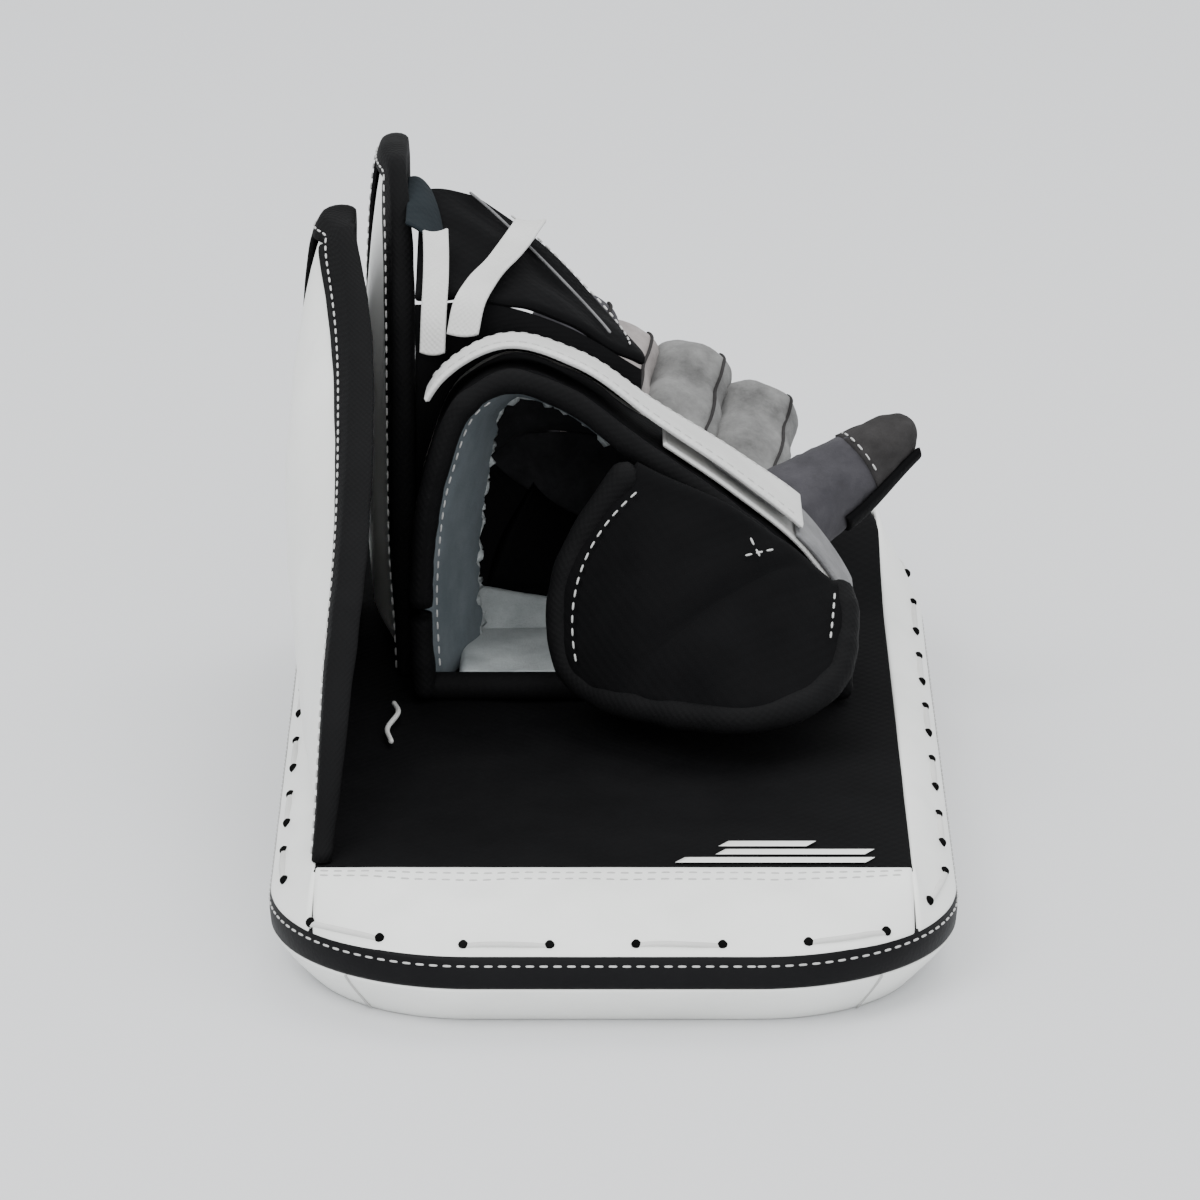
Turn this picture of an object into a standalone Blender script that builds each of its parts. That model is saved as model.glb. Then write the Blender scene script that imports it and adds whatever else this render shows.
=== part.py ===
"""Ice hockey goalie blocker, lying on the front face of its board.

Metres, +Z up. +Y runs from the wrist end to the finger end, +X towards the thumb side.
The origin is at the middle of the board's front face, which lies at Z = 0.
Sizes below are in millimetres and are turned into metres when a mesh is made.
"""
import math

import bmesh
import bpy
import numpy as np
from mathutils import Vector

MM = 0.001
GAP = 0.3                   # clearance between touching pieces
SMOOTH_BELOW = 40.0         # degrees between faces that are shaded as one curve

# Board
BOARD_WIDTH = 203.0
BOARD_LENGTH = 381.0
BOARD_CORNER = 60.0         # corner radius of the board's outline
FACE_HEIGHT = 14.0          # the bevelled white face
FACE_BEVEL = 12.0           # how far the flat front face stays inside the outline
BAND_HEIGHT = 9.5           # the black edge band above it
BACK_HEIGHT = 36.5          # top of the nylon back panel
LEATHER = 2.0
NYLON = 1.6
BAND_WALL = 3.0
SIDE_STRIP = 13.5           # width of the white side strips, seen from above
WRIST_PANEL = 40.5
END_PANEL = 25.0
BACK_CORNER = 12.0          # corner radius of the nylon panel
PANEL_CROWN = 2.5           # how far the white panels puff up
LACE_RADIUS = 1.5
LACE_INSET = 5.0            # from the panel's outer edge to the rim lace

# Side wings
WING_SKIN = 1.6
WING_COVER = 2.0
BINDING = 1.2               # thickness of the edge binding
BINDING_LIP = 8.0           # how far the binding folds over each face
WRIST_WING_THICKNESS = 12.0
WRIST_WING_CROWN = 6.0
FINGER_WING_THICKNESS = 10.5
FINGER_WING_CROWN = 1.5
WING_EDGE = 0.6             # share of its thickness that a wing keeps at its wrist edge
WING_TOP = 170.0
FINGER_WING_TOP = 183.0

# Cuff, measured on the outside of its shell
CUFF_MOUTH = 5.0            # Y of the opening
CUFF_LENGTH = 45.0
CUFF_HEIGHT = 143.5         # top of the arch above the floor
CUFF_LEFT = -62.0
CUFF_RIGHT = 75.0
CUFF_SHELL = 3.0
CUFF_LINING = 3.0
CUFF_FLOOR = 3.5
CUFF_BINDING = 3.0          # radius of the bound mouth edge

# Flap over the cuff's mouth
FLAP_SKIN = 1.5
FLAP_FOAM = 4.5
FLAP_DROP = 58.0            # how far its free edge stands out towards the wrist

# Straps
STRAP_WIDTH = 31.0
STRAP = 2.0                 # thickness
HOOK_PAD = 1.0
STRAP_FROM_MOUTH = 2.0

# Hand
HAND_LENGTH = 37.6
HAND_WALL = 2.5
PALM_HALF_WIDTH = 48.0
PALM_HALF_DEPTH = 14.0
PALM_TILT = math.radians(23.5)
PALM_CENTRE = (4.5, 82.0)   # X and Z of the palm's section at the knuckles
KNUCKLE_GAP = 12.0
FINGER_RISE = math.radians(27.0)
FINGER_WIDTH = 24.4
FINGER_PITCH = FINGER_WIDTH + 0.7
FINGER_DEPTH = 21.0
FINGER_WALL = 2.4
FINGER_LENGTHS = {"index": 62.0, "middle": 68.0, "ring": 64.0, "little": 54.0}
THUMB_BASE = (64.0, 77.0, 79.5)
THUMB_AIM = (0.80, 0.36, 0.48)
THUMB_LENGTH = 40.0
THUMB_RADIUS = 12.0
THUMB_GUARD = 2.4

# Finger guard and its straps
GUARD = 3.6
ELASTIC = 1.2
ELASTIC_WIDTH = 9.0

COLOURS = {
    "white_leather": ((0.72, 0.74, 0.72), 0.45),
    "black_nylon": ((0.007, 0.007, 0.008), 0.75),
    "black_binding": ((0.010, 0.010, 0.011), 0.60),
    "black_band": ((0.008, 0.008, 0.009), 0.45),
    "foam": ((0.10, 0.10, 0.11), 0.90),
    "grey_lining": ((0.085, 0.10, 0.115), 0.85),
    "grey_suede": ((0.23, 0.23, 0.23), 0.90),
    "thumb_suede": ((0.11, 0.11, 0.13), 0.88),
    "white_webbing": ((0.62, 0.62, 0.60), 0.70),
    "grey_webbing": ((0.25, 0.25, 0.26), 0.75),
    "white_lace": ((0.70, 0.70, 0.68), 0.65),
}

BAND_TOP = FACE_HEIGHT + BAND_HEIGHT
BACK_HALF_WIDTH = BOARD_WIDTH / 2 - SIDE_STRIP
BACK_NEAR = -BOARD_LENGTH / 2 + WRIST_PANEL
BACK_FAR = BOARD_LENGTH / 2 - END_PANEL
FLOOR = BACK_HEIGHT + GAP   # what stands on the back panel starts here
CUFF_BACK = CUFF_MOUTH + CUFF_LENGTH
HAND_NEAR = CUFF_BACK + GAP + 0.1
HAND_FAR = HAND_NEAR + HAND_LENGTH
PALM_ACROSS = np.array((math.cos(PALM_TILT), 0.0, -math.sin(PALM_TILT)))
PALM_NORMAL = np.array((math.sin(PALM_TILT), 0.0, math.cos(PALM_TILT)))
WING_AXIS = (-BACK_HALF_WIDTH - 1.0, 0.0, FLOOR)


# ---------------------------------------------------------------- curves and surfaces

def blend(a, b, share):
    """A share of the way from a to b."""
    return a + (b - a) * share


def ease(share):
    """0 to 1 with a soft start and end."""
    share = np.clip(share, 0.0, 1.0)
    return share * share * (3.0 - 2.0 * share)


def along(points, share):
    """Points on a smooth curve through the given points, at shares 0 to 1 of its length."""
    points = np.asarray(points, float)
    steps = np.linalg.norm(np.diff(points, axis=0), axis=1)
    knots = np.concatenate(([0.0], np.cumsum(steps))) / steps.sum()
    slopes = np.gradient(points, knots, axis=0)
    share = np.clip(np.asarray(share, float), 0.0, 1.0)
    cell = np.clip(np.searchsorted(knots, share, side="right") - 1, 0, len(knots) - 2)
    width = (knots[cell + 1] - knots[cell])[..., None]
    s = (share - knots[cell])[..., None] / width
    start = points[cell] * (1 + 2 * s) * (1 - s) ** 2 + slopes[cell] * width * s * (1 - s) ** 2
    end = points[cell + 1] * s ** 2 * (3 - 2 * s) - slopes[cell + 1] * width * s ** 2 * (1 - s)
    return start + end


def shifted(base, u, v, distance):
    """A surface's points moved along its own normals."""
    step = 0.01
    du = base(np.minimum(u + step, 1), v) - base(np.maximum(u - step, 0), v)
    dv = base(u, np.minimum(v + step, 1)) - base(u, np.maximum(v - step, 0))
    normal = np.cross(du, dv)
    normal /= np.linalg.norm(normal, axis=1)[:, None]
    return base(u, v) + normal * np.asarray(distance)[..., None]


def outline(inset, height, near=None, far=None, half_width=None, radius=None, corner_steps=6):
    """A rounded rectangle, anticlockwise from above, as one loop of points."""
    near = -BOARD_LENGTH / 2 if near is None else near
    far = BOARD_LENGTH / 2 if far is None else far
    half_width = BOARD_WIDTH / 2 if half_width is None else half_width
    radius = max((BOARD_CORNER if radius is None else radius) - inset, 0.5)
    points = []
    for turn, (sx, y) in enumerate(((1, near), (1, far), (-1, far), (-1, near))):
        cx = sx * (half_width - inset - radius)
        cy = y + (inset + radius) * (1 if y < 0 else -1)
        for step in range(corner_steps + 1):
            angle = math.radians(-90.0 + 90.0 * turn + 90.0 * step / corner_steps)
            points.append((cx + radius * math.cos(angle), cy + radius * math.sin(angle), height))
    return points


# ---------------------------------------------------------------- objects

def look(slot):
    """The material of one slot."""
    found = bpy.data.materials.get(slot)
    if found:
        return found
    colour, roughness = COLOURS[slot]
    made = bpy.data.materials.new(slot)
    made.use_nodes = True
    shader = made.node_tree.nodes["Principled BSDF"]
    shader.inputs["Base Color"].default_value = (*colour, 1.0)
    shader.inputs["Roughness"].default_value = roughness
    shader.inputs["Metallic"].default_value = 0.0
    return made


def place(name, mesh, slot, pivot=(0.0, 0.0, 0.0)):
    """One named object whose origin is at pivot; the mesh is already around that pivot."""
    mesh.materials.append(look(slot))
    made = bpy.data.objects.new(name, mesh)
    made.location = Vector(pivot) * MM
    bpy.context.scene.collection.objects.link(made)
    return made


def finish(name, bm, slot, pivot):
    """Turns a bmesh in millimetres into an object in metres."""
    bmesh.ops.translate(bm, verts=bm.verts, vec=-Vector(pivot))
    bmesh.ops.scale(bm, verts=bm.verts, vec=(MM, MM, MM))
    bmesh.ops.recalc_face_normals(bm, faces=bm.faces)
    if bm.calc_volume(signed=True) < 0.0:
        bmesh.ops.reverse_faces(bm, faces=bm.faces)
    mesh = bpy.data.meshes.new(name)
    bm.to_mesh(mesh)
    bm.free()
    mesh.shade_smooth()
    mesh.set_sharp_from_angle(angle=math.radians(SMOOTH_BELOW))
    return place(name, mesh, slot, pivot)


def lofted(name, loops, slot, pivot=(0.0, 0.0, 0.0), ring=False):
    """A skin over loops with equal point counts: a ring, or a body capped at both ends."""
    bm = bmesh.new()
    rows = [[bm.verts.new(point) for point in loop] for loop in loops]
    pairs = list(zip(rows, rows[1:]))
    if ring:
        pairs.append((rows[-1], rows[0]))
    else:
        bm.faces.new(rows[0][::-1])
        bm.faces.new(rows[-1])
    for first, second in pairs:
        for index in range(len(first)):
            after = (index + 1) % len(first)
            bm.faces.new((first[index], first[after], second[after], second[index]))
    return finish(name, bm, slot, pivot)


def sheet(name, surface, columns, rows, slot, pivot=(0.0, 0.0, 0.0)):
    """A solid between surface(u, v, 0) and surface(u, v, 1), from a grid that is extruded."""
    bm = bmesh.new()
    bmesh.ops.create_grid(bm, x_segments=columns, y_segments=rows, size=1.0)
    first = list(bm.verts)
    u = np.array([(vert.co.x + 1.0) / 2.0 for vert in first])
    v = np.array([(vert.co.y + 1.0) / 2.0 for vert in first])
    extruded = bmesh.ops.extrude_face_region(bm, geom=bm.faces[:])
    second = [item for item in extruded["geom"] if isinstance(item, bmesh.types.BMVert)]
    places = {(round(a, 5), round(b, 5)): index for index, (a, b) in enumerate(zip(u, v))}
    order = [places[(round((vert.co.x + 1) / 2, 5), round((vert.co.y + 1) / 2, 5))] for vert in second]
    low = surface(u, v, 0)
    high = surface(u, v, 1)
    for vert, point in zip(first, low):
        vert.co = point
    for vert, index in zip(second, order):
        vert.co = high[index]
    return finish(name, bm, slot, pivot)


def layer(name, base, inner, outer, columns, rows, slot, pivot=(0.0, 0.0, 0.0)):
    """A sheet between two distances along the normals of base(u, v)."""
    def surface(u, v, side):
        return shifted(base, u, v, np.full(u.shape, outer if side else inner))
    return sheet(name, surface, columns, rows, slot, pivot)


def tube(name, points, radius, slot, pivot=(0.0, 0.0, 0.0), cyclic=False):
    """A round tube along points, as a bevelled curve with filled ends."""
    curve = bpy.data.curves.new(name, "CURVE")
    curve.dimensions = "3D"
    curve.bevel_depth = radius * MM
    curve.bevel_resolution = 2
    curve.use_fill_caps = not cyclic
    spline = curve.splines.new("POLY")
    spline.points.add(len(points) - 1)
    spline.use_cyclic_u = cyclic
    for spot, point in zip(spline.points, points):
        spot.co = (*((np.asarray(point) - np.asarray(pivot)) * MM), 1.0)
    return place(name, curve, slot, pivot)


def channel(name, frames, wall, slot, pivot=(0.0, 0.0, 0.0)):
    """A U-shaped binding along a sheet's edge.

    Each frame holds the edge on the sheet's inner and outer face, and the lip's end on each.
    """
    loops = []
    clear = 3 * GAP
    for inner, outer, inner_lip, outer_lip in frames:
        across = (outer - inner) / np.linalg.norm(outer - inner)
        lip_across = (outer_lip - inner_lip) / np.linalg.norm(outer_lip - inner_lip)
        out = inner + outer - inner_lip - outer_lip
        out /= np.linalg.norm(out)
        sides = []
        for away in (clear + wall, clear):
            sides.append([inner_lip - lip_across * away, inner + (out - across) * away,
                          outer + (out + across) * away, outer_lip + lip_across * away])
        loops.append(sides[0] + sides[1][::-1])
    return lofted(name, loops, slot, pivot)


# ---------------------------------------------------------------- the board

def edge_y(x, end, inset=0.0):
    """Y of the board's outline at x, on its near (-1) or far (1) end."""
    radius = BOARD_CORNER - inset
    over = np.clip(np.abs(x) - (BOARD_WIDTH / 2 - BOARD_CORNER), 0.0, radius - 0.01)
    return end * (BOARD_LENGTH / 2 - BOARD_CORNER + np.sqrt(radius ** 2 - over ** 2))


def end_panel_surface(end):
    """The sloping white panel at one end: u runs along X and v up to the nylon."""
    inner_y = BACK_NEAR - GAP if end < 0 else BACK_FAR + GAP
    half = BACK_HALF_WIDTH - GAP

    def surface(u, v, side):
        x = blend(-half, half, u)
        drop = 0.0 if side else LEATHER
        y = blend(edge_y(x, end, 1.2 * drop), inner_y, v)
        z = blend(BAND_TOP + GAP, BACK_HEIGHT - drop, v) + PANEL_CROWN * np.sin(math.pi * v)
        return np.stack((x, y, z), axis=1)
    return surface


def side_strip_surface(side_sign):
    """The white strip along one side: u runs from the wrist end to the finger end."""
    half = BACK_HALF_WIDTH + GAP
    centre = BOARD_WIDTH / 2 - BOARD_CORNER

    def edge(share, inset):
        radius = BOARD_CORNER - inset
        start = math.acos((half - centre) / radius)
        arc = radius * start
        straight = BOARD_LENGTH - 2 * BOARD_CORNER
        distance = share * (2 * arc + straight)
        near = np.clip(distance, 0.0, arc)
        run = np.clip(distance - arc, 0.0, straight)
        far = np.clip(distance - arc - straight, 0.0, arc)
        angle = start - near / radius + far / radius
        sign = np.where(distance < arc + straight / 2, -1.0, 1.0)
        y = -straight / 2 + run + sign * radius * np.sin(angle)
        return centre + radius * np.cos(angle), y

    def surface(u, v, side):
        drop = 0.0 if side else LEATHER
        x, y = edge(u, 1.2 * drop)
        inner_y = blend(BACK_NEAR - GAP, BACK_FAR + GAP, u)
        z = blend(BAND_TOP + GAP, BACK_HEIGHT - drop, v) + PANEL_CROWN * np.sin(math.pi * v)
        return np.stack((side_sign * blend(x, half, v), blend(y, inner_y, v), z), axis=1)
    return surface


def rim_lace_points():
    """The lace's way round the rim, resting on the four white panels."""
    def resting(panel, shares, up, facing):
        away = np.full(shares.shape, facing * (LACE_RADIUS + 7 * GAP))
        return shifted(lambda a, b: panel(a, b, 1), shares, np.full(shares.shape, up), away)
    ends = np.linspace(0.04, 0.96, 12)
    sides = np.linspace(0.02, 0.98, 18)
    slope = math.hypot(SIDE_STRIP, BACK_HEIGHT - BAND_TOP)
    side_share = LACE_INSET / slope
    wrist = resting(end_panel_surface(-1), ends, LACE_INSET / WRIST_PANEL, 1)
    right = resting(side_strip_surface(1), sides, side_share, 1)
    far = resting(end_panel_surface(1), ends[::-1], LACE_INSET / END_PANEL, -1)
    left = resting(side_strip_surface(-1), sides[::-1], side_share, -1)
    return np.concatenate((wrist, right, far, left))


def make_board():
    """The board's stack, from the front face up to the nylon back."""
    wall = 1.3 * LEATHER
    lofted("face_cover", [
        outline(FACE_BEVEL, 0.0),
        outline(0.0, FACE_HEIGHT),
        outline(wall, FACE_HEIGHT),
        outline(FACE_BEVEL + LEATHER, LEATHER),
    ], "white_leather")
    clear = 2 * GAP
    lofted("board_core", [
        outline(FACE_BEVEL + LEATHER + clear, LEATHER + GAP),
        outline(BAND_WALL + clear, FACE_HEIGHT),
        outline(BAND_WALL + clear, BAND_TOP),
    ], "foam")
    lofted("edge_band", [
        outline(0.0, FACE_HEIGHT + GAP),
        outline(0.0, BAND_TOP),
        outline(BAND_WALL, BAND_TOP),
        outline(BAND_WALL, FACE_HEIGHT + GAP),
    ], "black_band", ring=True)
    foam_edge = 7 * GAP
    lofted("backing_foam", [
        outline(1.2 * LEATHER + foam_edge, BAND_TOP + GAP),
        outline(0.0, BACK_HEIGHT - NYLON - GAP, BACK_NEAR + foam_edge, BACK_FAR - foam_edge,
                BACK_HALF_WIDTH - foam_edge, BACK_CORNER),
    ], "foam")
    back = (BACK_NEAR, BACK_FAR, BACK_HALF_WIDTH, 1.0)
    lofted("back_panel", [
        outline(0.0, BACK_HEIGHT - NYLON, *back, corner_steps=2),
        outline(0.0, BACK_HEIGHT, *back, corner_steps=2),
    ], "black_nylon")
    sheet("wrist_panel", end_panel_surface(-1), 12, 3, "white_leather")
    sheet("finger_end_panel", end_panel_surface(1), 12, 3, "white_leather")
    sheet("side_strip_left", side_strip_surface(-1), 16, 3, "white_leather")
    sheet("side_strip_right", side_strip_surface(1), 16, 3, "white_leather")
    tube("rim_lace", rim_lace_points(), LACE_RADIUS, "white_lace", cyclic=True)


# ---------------------------------------------------------------- the side wings

WRIST_WING = {
    "near": ((-149, 0.0), (-130, 0.17), (-88, 0.42), (-35, 0.62), (18, 0.79), (60, 0.94), (86, 1.0)),
    "far": ((104, 0.0), (107, 0.5), (108, 0.88), (104, 0.97), (98, 1.0)),
    "near_x": (-75.0, -79.0, -73.5, -72.0, -77.0, -83.0),
    "far_x": -83.5,
    "top": WING_TOP,
    "thickness": WRIST_WING_THICKNESS,
    "crown": WRIST_WING_CROWN,
}
FINGER_WING = {
    "near": ((25, 0.0), (45, 0.36), (60, 0.64), (74, 0.76), (88, 0.86), (98, 0.95), (108, 1.0)),
    "far": ((161, 0.0), (163, 0.5), (161, 0.8), (154, 0.94), (142, 1.0)),
    "near_x": (-67.5, -66.5, -65.5, -65.0, -67.0, -69.0),
    "far_x": -67.5,
    "top": FINGER_WING_TOP,
    "thickness": FINGER_WING_THICKNESS,
    "crown": FINGER_WING_CROWN,
}


def wing_point(wing, u, v, depth):
    """A wing's points: u from its wrist edge to its finger edge, v up, depth 0 inside to 1 outside.

    depth may also be a distance pair (share, shift), the shift in millimetres.
    """
    share, shift = depth
    scale = np.array((1.0, wing["top"] - FLOOR))
    near = along(np.array(wing["near"]) * scale, v)
    far = along(np.array(wing["far"]) * scale, v)
    yz = blend(near, far, u[:, None])
    heights = np.linspace(0.0, 1.0, len(wing["near_x"]))
    near_x = along(np.stack((heights * 100.0, wing["near_x"]), axis=1), v)[:, 1]
    inner = blend(near_x, wing["far_x"], ease(2.0 * u))
    crown = wing["crown"] * np.sin(math.pi * np.clip(u, 0, 1)) * np.sin(math.pi * (0.05 + 0.9 * v))
    foot = -2.0 * (1.0 - ease(4.0 * v))
    outer = inner - wing["thickness"] * blend(WING_EDGE, 1.0, ease(2.0 * u)) - crown - foot
    x = blend(inner, outer, share) - shift
    return np.stack((x, yz[:, 0], yz[:, 1] + FLOOR), axis=1)


def wing_layer(name, wing, inside, outside, slot, pivot):
    """One layer of a wing, between two depths."""
    def surface(u, v, side):
        return wing_point(wing, 0.02 + 0.96 * u, 0.98 * v, outside if side else inside)
    sheet(name, surface, 12, 11, slot, pivot)


def wing_edge_frames(wing):
    """The binding's frames: up the wrist edge, over the top and down the finger edge."""
    rise = np.linspace(0.03, 0.90, 11)
    cross = np.linspace(0.02, 0.98, 5)
    u = np.concatenate((np.full(11, 0.02), cross, np.full(11, 0.98)))
    v = np.concatenate((rise, np.full(5, 0.98), rise[::-1]))
    near = along(wing["near"], v)[:, 0]
    far = along(wing["far"], v)[:, 0]
    inward = np.minimum(1.3 * BINDING_LIP / (far - near), 0.3)
    du = inward * np.repeat((1.0, 1.0, 0.0, -1.0, -1.0), (11, 1, 3, 1, 11))
    dv = BINDING_LIP / (wing["top"] - FLOOR) * np.repeat((0.0, -1.0, 0.0), (11, 5, 11))
    spots = [wing_point(wing, u + a, v + b, depth)
             for a, b in ((0.0, 0.0), (du, dv)) for depth in ((0.0, 0.0), (1.0, 0.0))]
    return list(zip(*spots))


def make_wing(prefix, wing):
    """A wing: lining, foam, cover and the binding round its free edge."""
    pivot = WING_AXIS
    skin = WING_SKIN
    cover = WING_COVER
    wing_layer(prefix + "_lining", wing, (0.0, 0.0), (0.0, skin), "black_nylon", pivot)
    wing_layer(prefix + "_foam", wing, (0.0, skin + GAP), (1.0, -cover - GAP), "foam", pivot)
    wing_layer(prefix + "_cover", wing, (1.0, -cover), (1.0, 0.0), "white_leather", pivot)
    channel(prefix + "_binding", wing_edge_frames(wing), BINDING, "black_binding", pivot)


def make_lace_end():
    """A short loose end of lace on the nylon, by the wrist wing's foot."""
    height = FLOOR + LACE_RADIUS
    route = ((-68.0, -38.0, height), (-67.0, -46.0, height), (-69.0, -54.0, height), (-68.0, -61.0, height))
    tube("wing_lace_end", along(route, np.linspace(0, 1, 7)), LACE_RADIUS * 0.8, "white_lace")


# ---------------------------------------------------------------- the cuff, flap and straps

def arch_section(share):
    """The cuff's arch in X and Z, from the left foot over the top to the right foot."""
    rise = CUFF_HEIGHT - FLOOR
    span = CUFF_RIGHT - CUFF_LEFT
    shape = ((0.0, 0.0), (-0.007, 0.36), (0.03, 0.70), (0.11, 0.93), (0.21, 1.0), (0.35, 0.95),
             (0.51, 0.80), (0.715, 0.61), (0.89, 0.41), (0.985, 0.20), (1.0, 0.0))
    points = np.array(shape) * (span, rise) + (CUFF_LEFT, FLOOR)
    return along(points, share)


def arch(u, v):
    """The cuff's outer surface: u along the arch, v from the mouth back."""
    section = arch_section(u)
    y = blend(CUFF_MOUTH, CUFF_BACK, v)
    return np.stack((section[:, 0], y, section[:, 1]), axis=1)


def strap_surface(start, end, first=0.0, last=1.0):
    """A strip of the arch's surface between two shares of its length."""
    near = CUFF_MOUTH + STRAP_FROM_MOUTH
    low = (near - CUFF_MOUTH) / CUFF_LENGTH
    width = STRAP_WIDTH / CUFF_LENGTH

    def surface(u, v):
        return arch(blend(start, end, u), low + width * blend(first, last, v))
    return surface


STRAP_START = 0.335
STRAP_END = 0.80
STRAP_LIFT = 5.6


def strap_pivot():
    """Where the strap turns: its sewn end, on its lower face."""
    base = strap_surface(STRAP_START, STRAP_END)
    return tuple(shifted(base, np.array([0.0]), np.array([0.5]), np.array([STRAP_LIFT]))[0])


FLAP_NET = (
    ((7.0, -3.5, 118.0), (30.0, -3.5, 103.5), (51.0, -3.5, 88.0), (67.0, -3.5, 71.0)),
    ((-14.0, -0.19 * FLAP_DROP, 78.0), (12.0, -0.414 * FLAP_DROP, 82.0),
     (44.0, -0.483 * FLAP_DROP, 72.0), (70.5, -0.293 * FLAP_DROP, 64.0)),
    ((-7.0, -0.431 * FLAP_DROP, 50.0), (15.0, -0.793 * FLAP_DROP, 48.5),
     (42.0, -FLAP_DROP, 47.5), (67.0, -0.69 * FLAP_DROP, 52.0)),
)


def flap(u, v):
    """The flap's inner face: u from its left edge to its right, v from the cuff down."""
    rows = [along(row, u) for row in FLAP_NET]
    weights = ((2 * v - 1) * (v - 1), 4 * v * (1 - v), v * (2 * v - 1))
    return sum(row * weight[:, None] for row, weight in zip(rows, weights))


def flap_pivot():
    """The middle of the flap's sewn edge."""
    return tuple((np.array(FLAP_NET[0][0]) + np.array(FLAP_NET[0][3])) / 2)


def flap_edge_frames():
    """The binding's frames, down the left edge, along the free edge and up the right."""
    inset = 0.02
    down = np.linspace(0.06, 0.90, 6)
    across = np.linspace(inset, 1 - inset, 9)
    u = np.concatenate((np.full(6, inset), across, np.full(6, 1 - inset)))
    v = np.concatenate((down, np.full(9, 1 - inset), down[::-1]))
    du = 0.09 * np.repeat((1.0, 1.0, 0.0, -1.0, -1.0), (6, 1, 7, 1, 6))
    dv = 0.10 * np.repeat((0.0, -1.0, 0.0), (6, 9, 6))
    total = 2 * FLAP_SKIN + FLAP_FOAM + 2 * GAP
    spots = [shifted(flap, u + a, v + b, np.full(u.shape, -depth))
             for a, b in ((0.0, 0.0), (du, dv)) for depth in (0.0, total)]
    return list(zip(*spots))


def inset_flap(u, v):
    """The flap's face inside its binding."""
    return flap(0.03 + 0.94 * u, 0.01 + 0.96 * v)


def make_cuff():
    """The cuff's arch, its lining, floor and bound mouth."""
    def shell(u, v, side):
        return shifted(arch, 0.005 + 0.99 * u, v, np.full(u.shape, 0.0 if side else -CUFF_SHELL))

    def lining(u, v, side):
        outer = CUFF_SHELL + GAP
        return shifted(arch, 0.005 + 0.99 * u, v, np.full(u.shape, -outer if side else -outer - CUFF_LINING))
    sheet("cuff_shell", shell, 28, 2, "black_nylon")
    sheet("cuff_lining", lining, 28, 2, "grey_lining")
    wall = CUFF_SHELL + CUFF_LINING + 3 * GAP

    def floor(u, v, side):
        x = blend(CUFF_LEFT + wall, CUFF_RIGHT - wall, u)
        y = blend(CUFF_MOUTH, CUFF_BACK, v)
        return np.stack((x, y, np.full(u.shape, FLOOR + (CUFF_FLOOR if side else 0.0))), axis=1)
    sheet("cuff_floor", floor, 6, 2, "grey_lining")
    shares = np.linspace(0.03, 0.97, 26)
    middle = shifted(arch, shares, np.zeros(26), np.full(26, -CUFF_BINDING))
    middle[:, 1] = CUFF_MOUTH - CUFF_BINDING - GAP
    tube("cuff_binding", middle, CUFF_BINDING, "black_binding")


def make_flap():
    """The padded flap that hangs over the thumb side of the cuff's mouth."""
    pivot = flap_pivot()
    depth = 0.0
    for name, thick, slot in (("lining", FLAP_SKIN, "black_nylon"), ("foam", FLAP_FOAM, "foam"),
                              ("cover", FLAP_SKIN, "black_nylon")):
        layer("flap_" + name, inset_flap, -depth, -depth - thick, 8, 7, slot, pivot)
        depth += thick + GAP
    channel("flap_binding", flap_edge_frames(), BINDING, "black_binding", pivot)


def make_straps():
    """The wrist strap over the cuff, its hook patch, and the strap under it with its end tab."""
    pivot = strap_pivot()
    over = strap_surface(STRAP_START, STRAP_END)
    layer("wrist_strap", over, STRAP_LIFT, STRAP_LIFT + STRAP, 14, 2, "white_webbing", pivot)
    hooks = strap_surface(0.68, 0.78, 0.12, 0.88)
    layer("strap_hook_patch", hooks, STRAP_LIFT - GAP - HOOK_PAD, STRAP_LIFT - GAP, 4, 2,
          "grey_webbing", pivot)
    under = strap_surface(0.62, 0.90, 0.06, 0.94)
    low = 3 * GAP
    layer("under_strap", under, low, low + 0.8 * STRAP, 8, 2, "white_webbing")
    tab_low = low + 2 * GAP + 0.8 * STRAP
    tab = strap_surface(0.82, 0.895, 0.0, 1.0)
    layer("strap_end_tab", tab, tab_low, tab_low + 0.7 * STRAP, 4, 2, "grey_webbing")


# ---------------------------------------------------------------- the hand

def palm_section(angle):
    """The hand's oval section at the knuckles: angle 0 at the thumb side, 90 on the palm side."""
    centre = np.array((PALM_CENTRE[0], 0.0, PALM_CENTRE[1]))
    across = np.cos(angle)[:, None] * PALM_HALF_WIDTH * PALM_ACROSS
    up = np.sin(angle)[:, None] * PALM_HALF_DEPTH * PALM_NORMAL
    return centre + across + up


def palm_side(u, v):
    """The palm side of the hand: u from the left foot to the right, v from the cuff on."""
    near = arch(0.03 + 0.94 * u, np.ones(u.shape))
    far = palm_section(math.pi - 0.17 - (math.pi - 0.34) * u)
    points = blend(near, far, ease(v)[:, None])
    points[:, 1] = blend(HAND_NEAR, HAND_FAR, v)
    return points


def back_side(u, v):
    """The back of the hand: u from the left to the right, v from the cuff on."""
    inset = HAND_WALL + 6 * GAP
    near = np.stack((blend(CUFF_LEFT + inset, CUFF_RIGHT - inset, u), 0 * u, 0 * u + FLOOR + 0.1), axis=1)
    far = palm_section(math.pi + 0.27 + (math.pi - 0.54) * u)
    points = blend(near, far, ease(v)[:, None])
    points[:, 1] = blend(HAND_NEAR, HAND_FAR, v)
    return points


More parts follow.
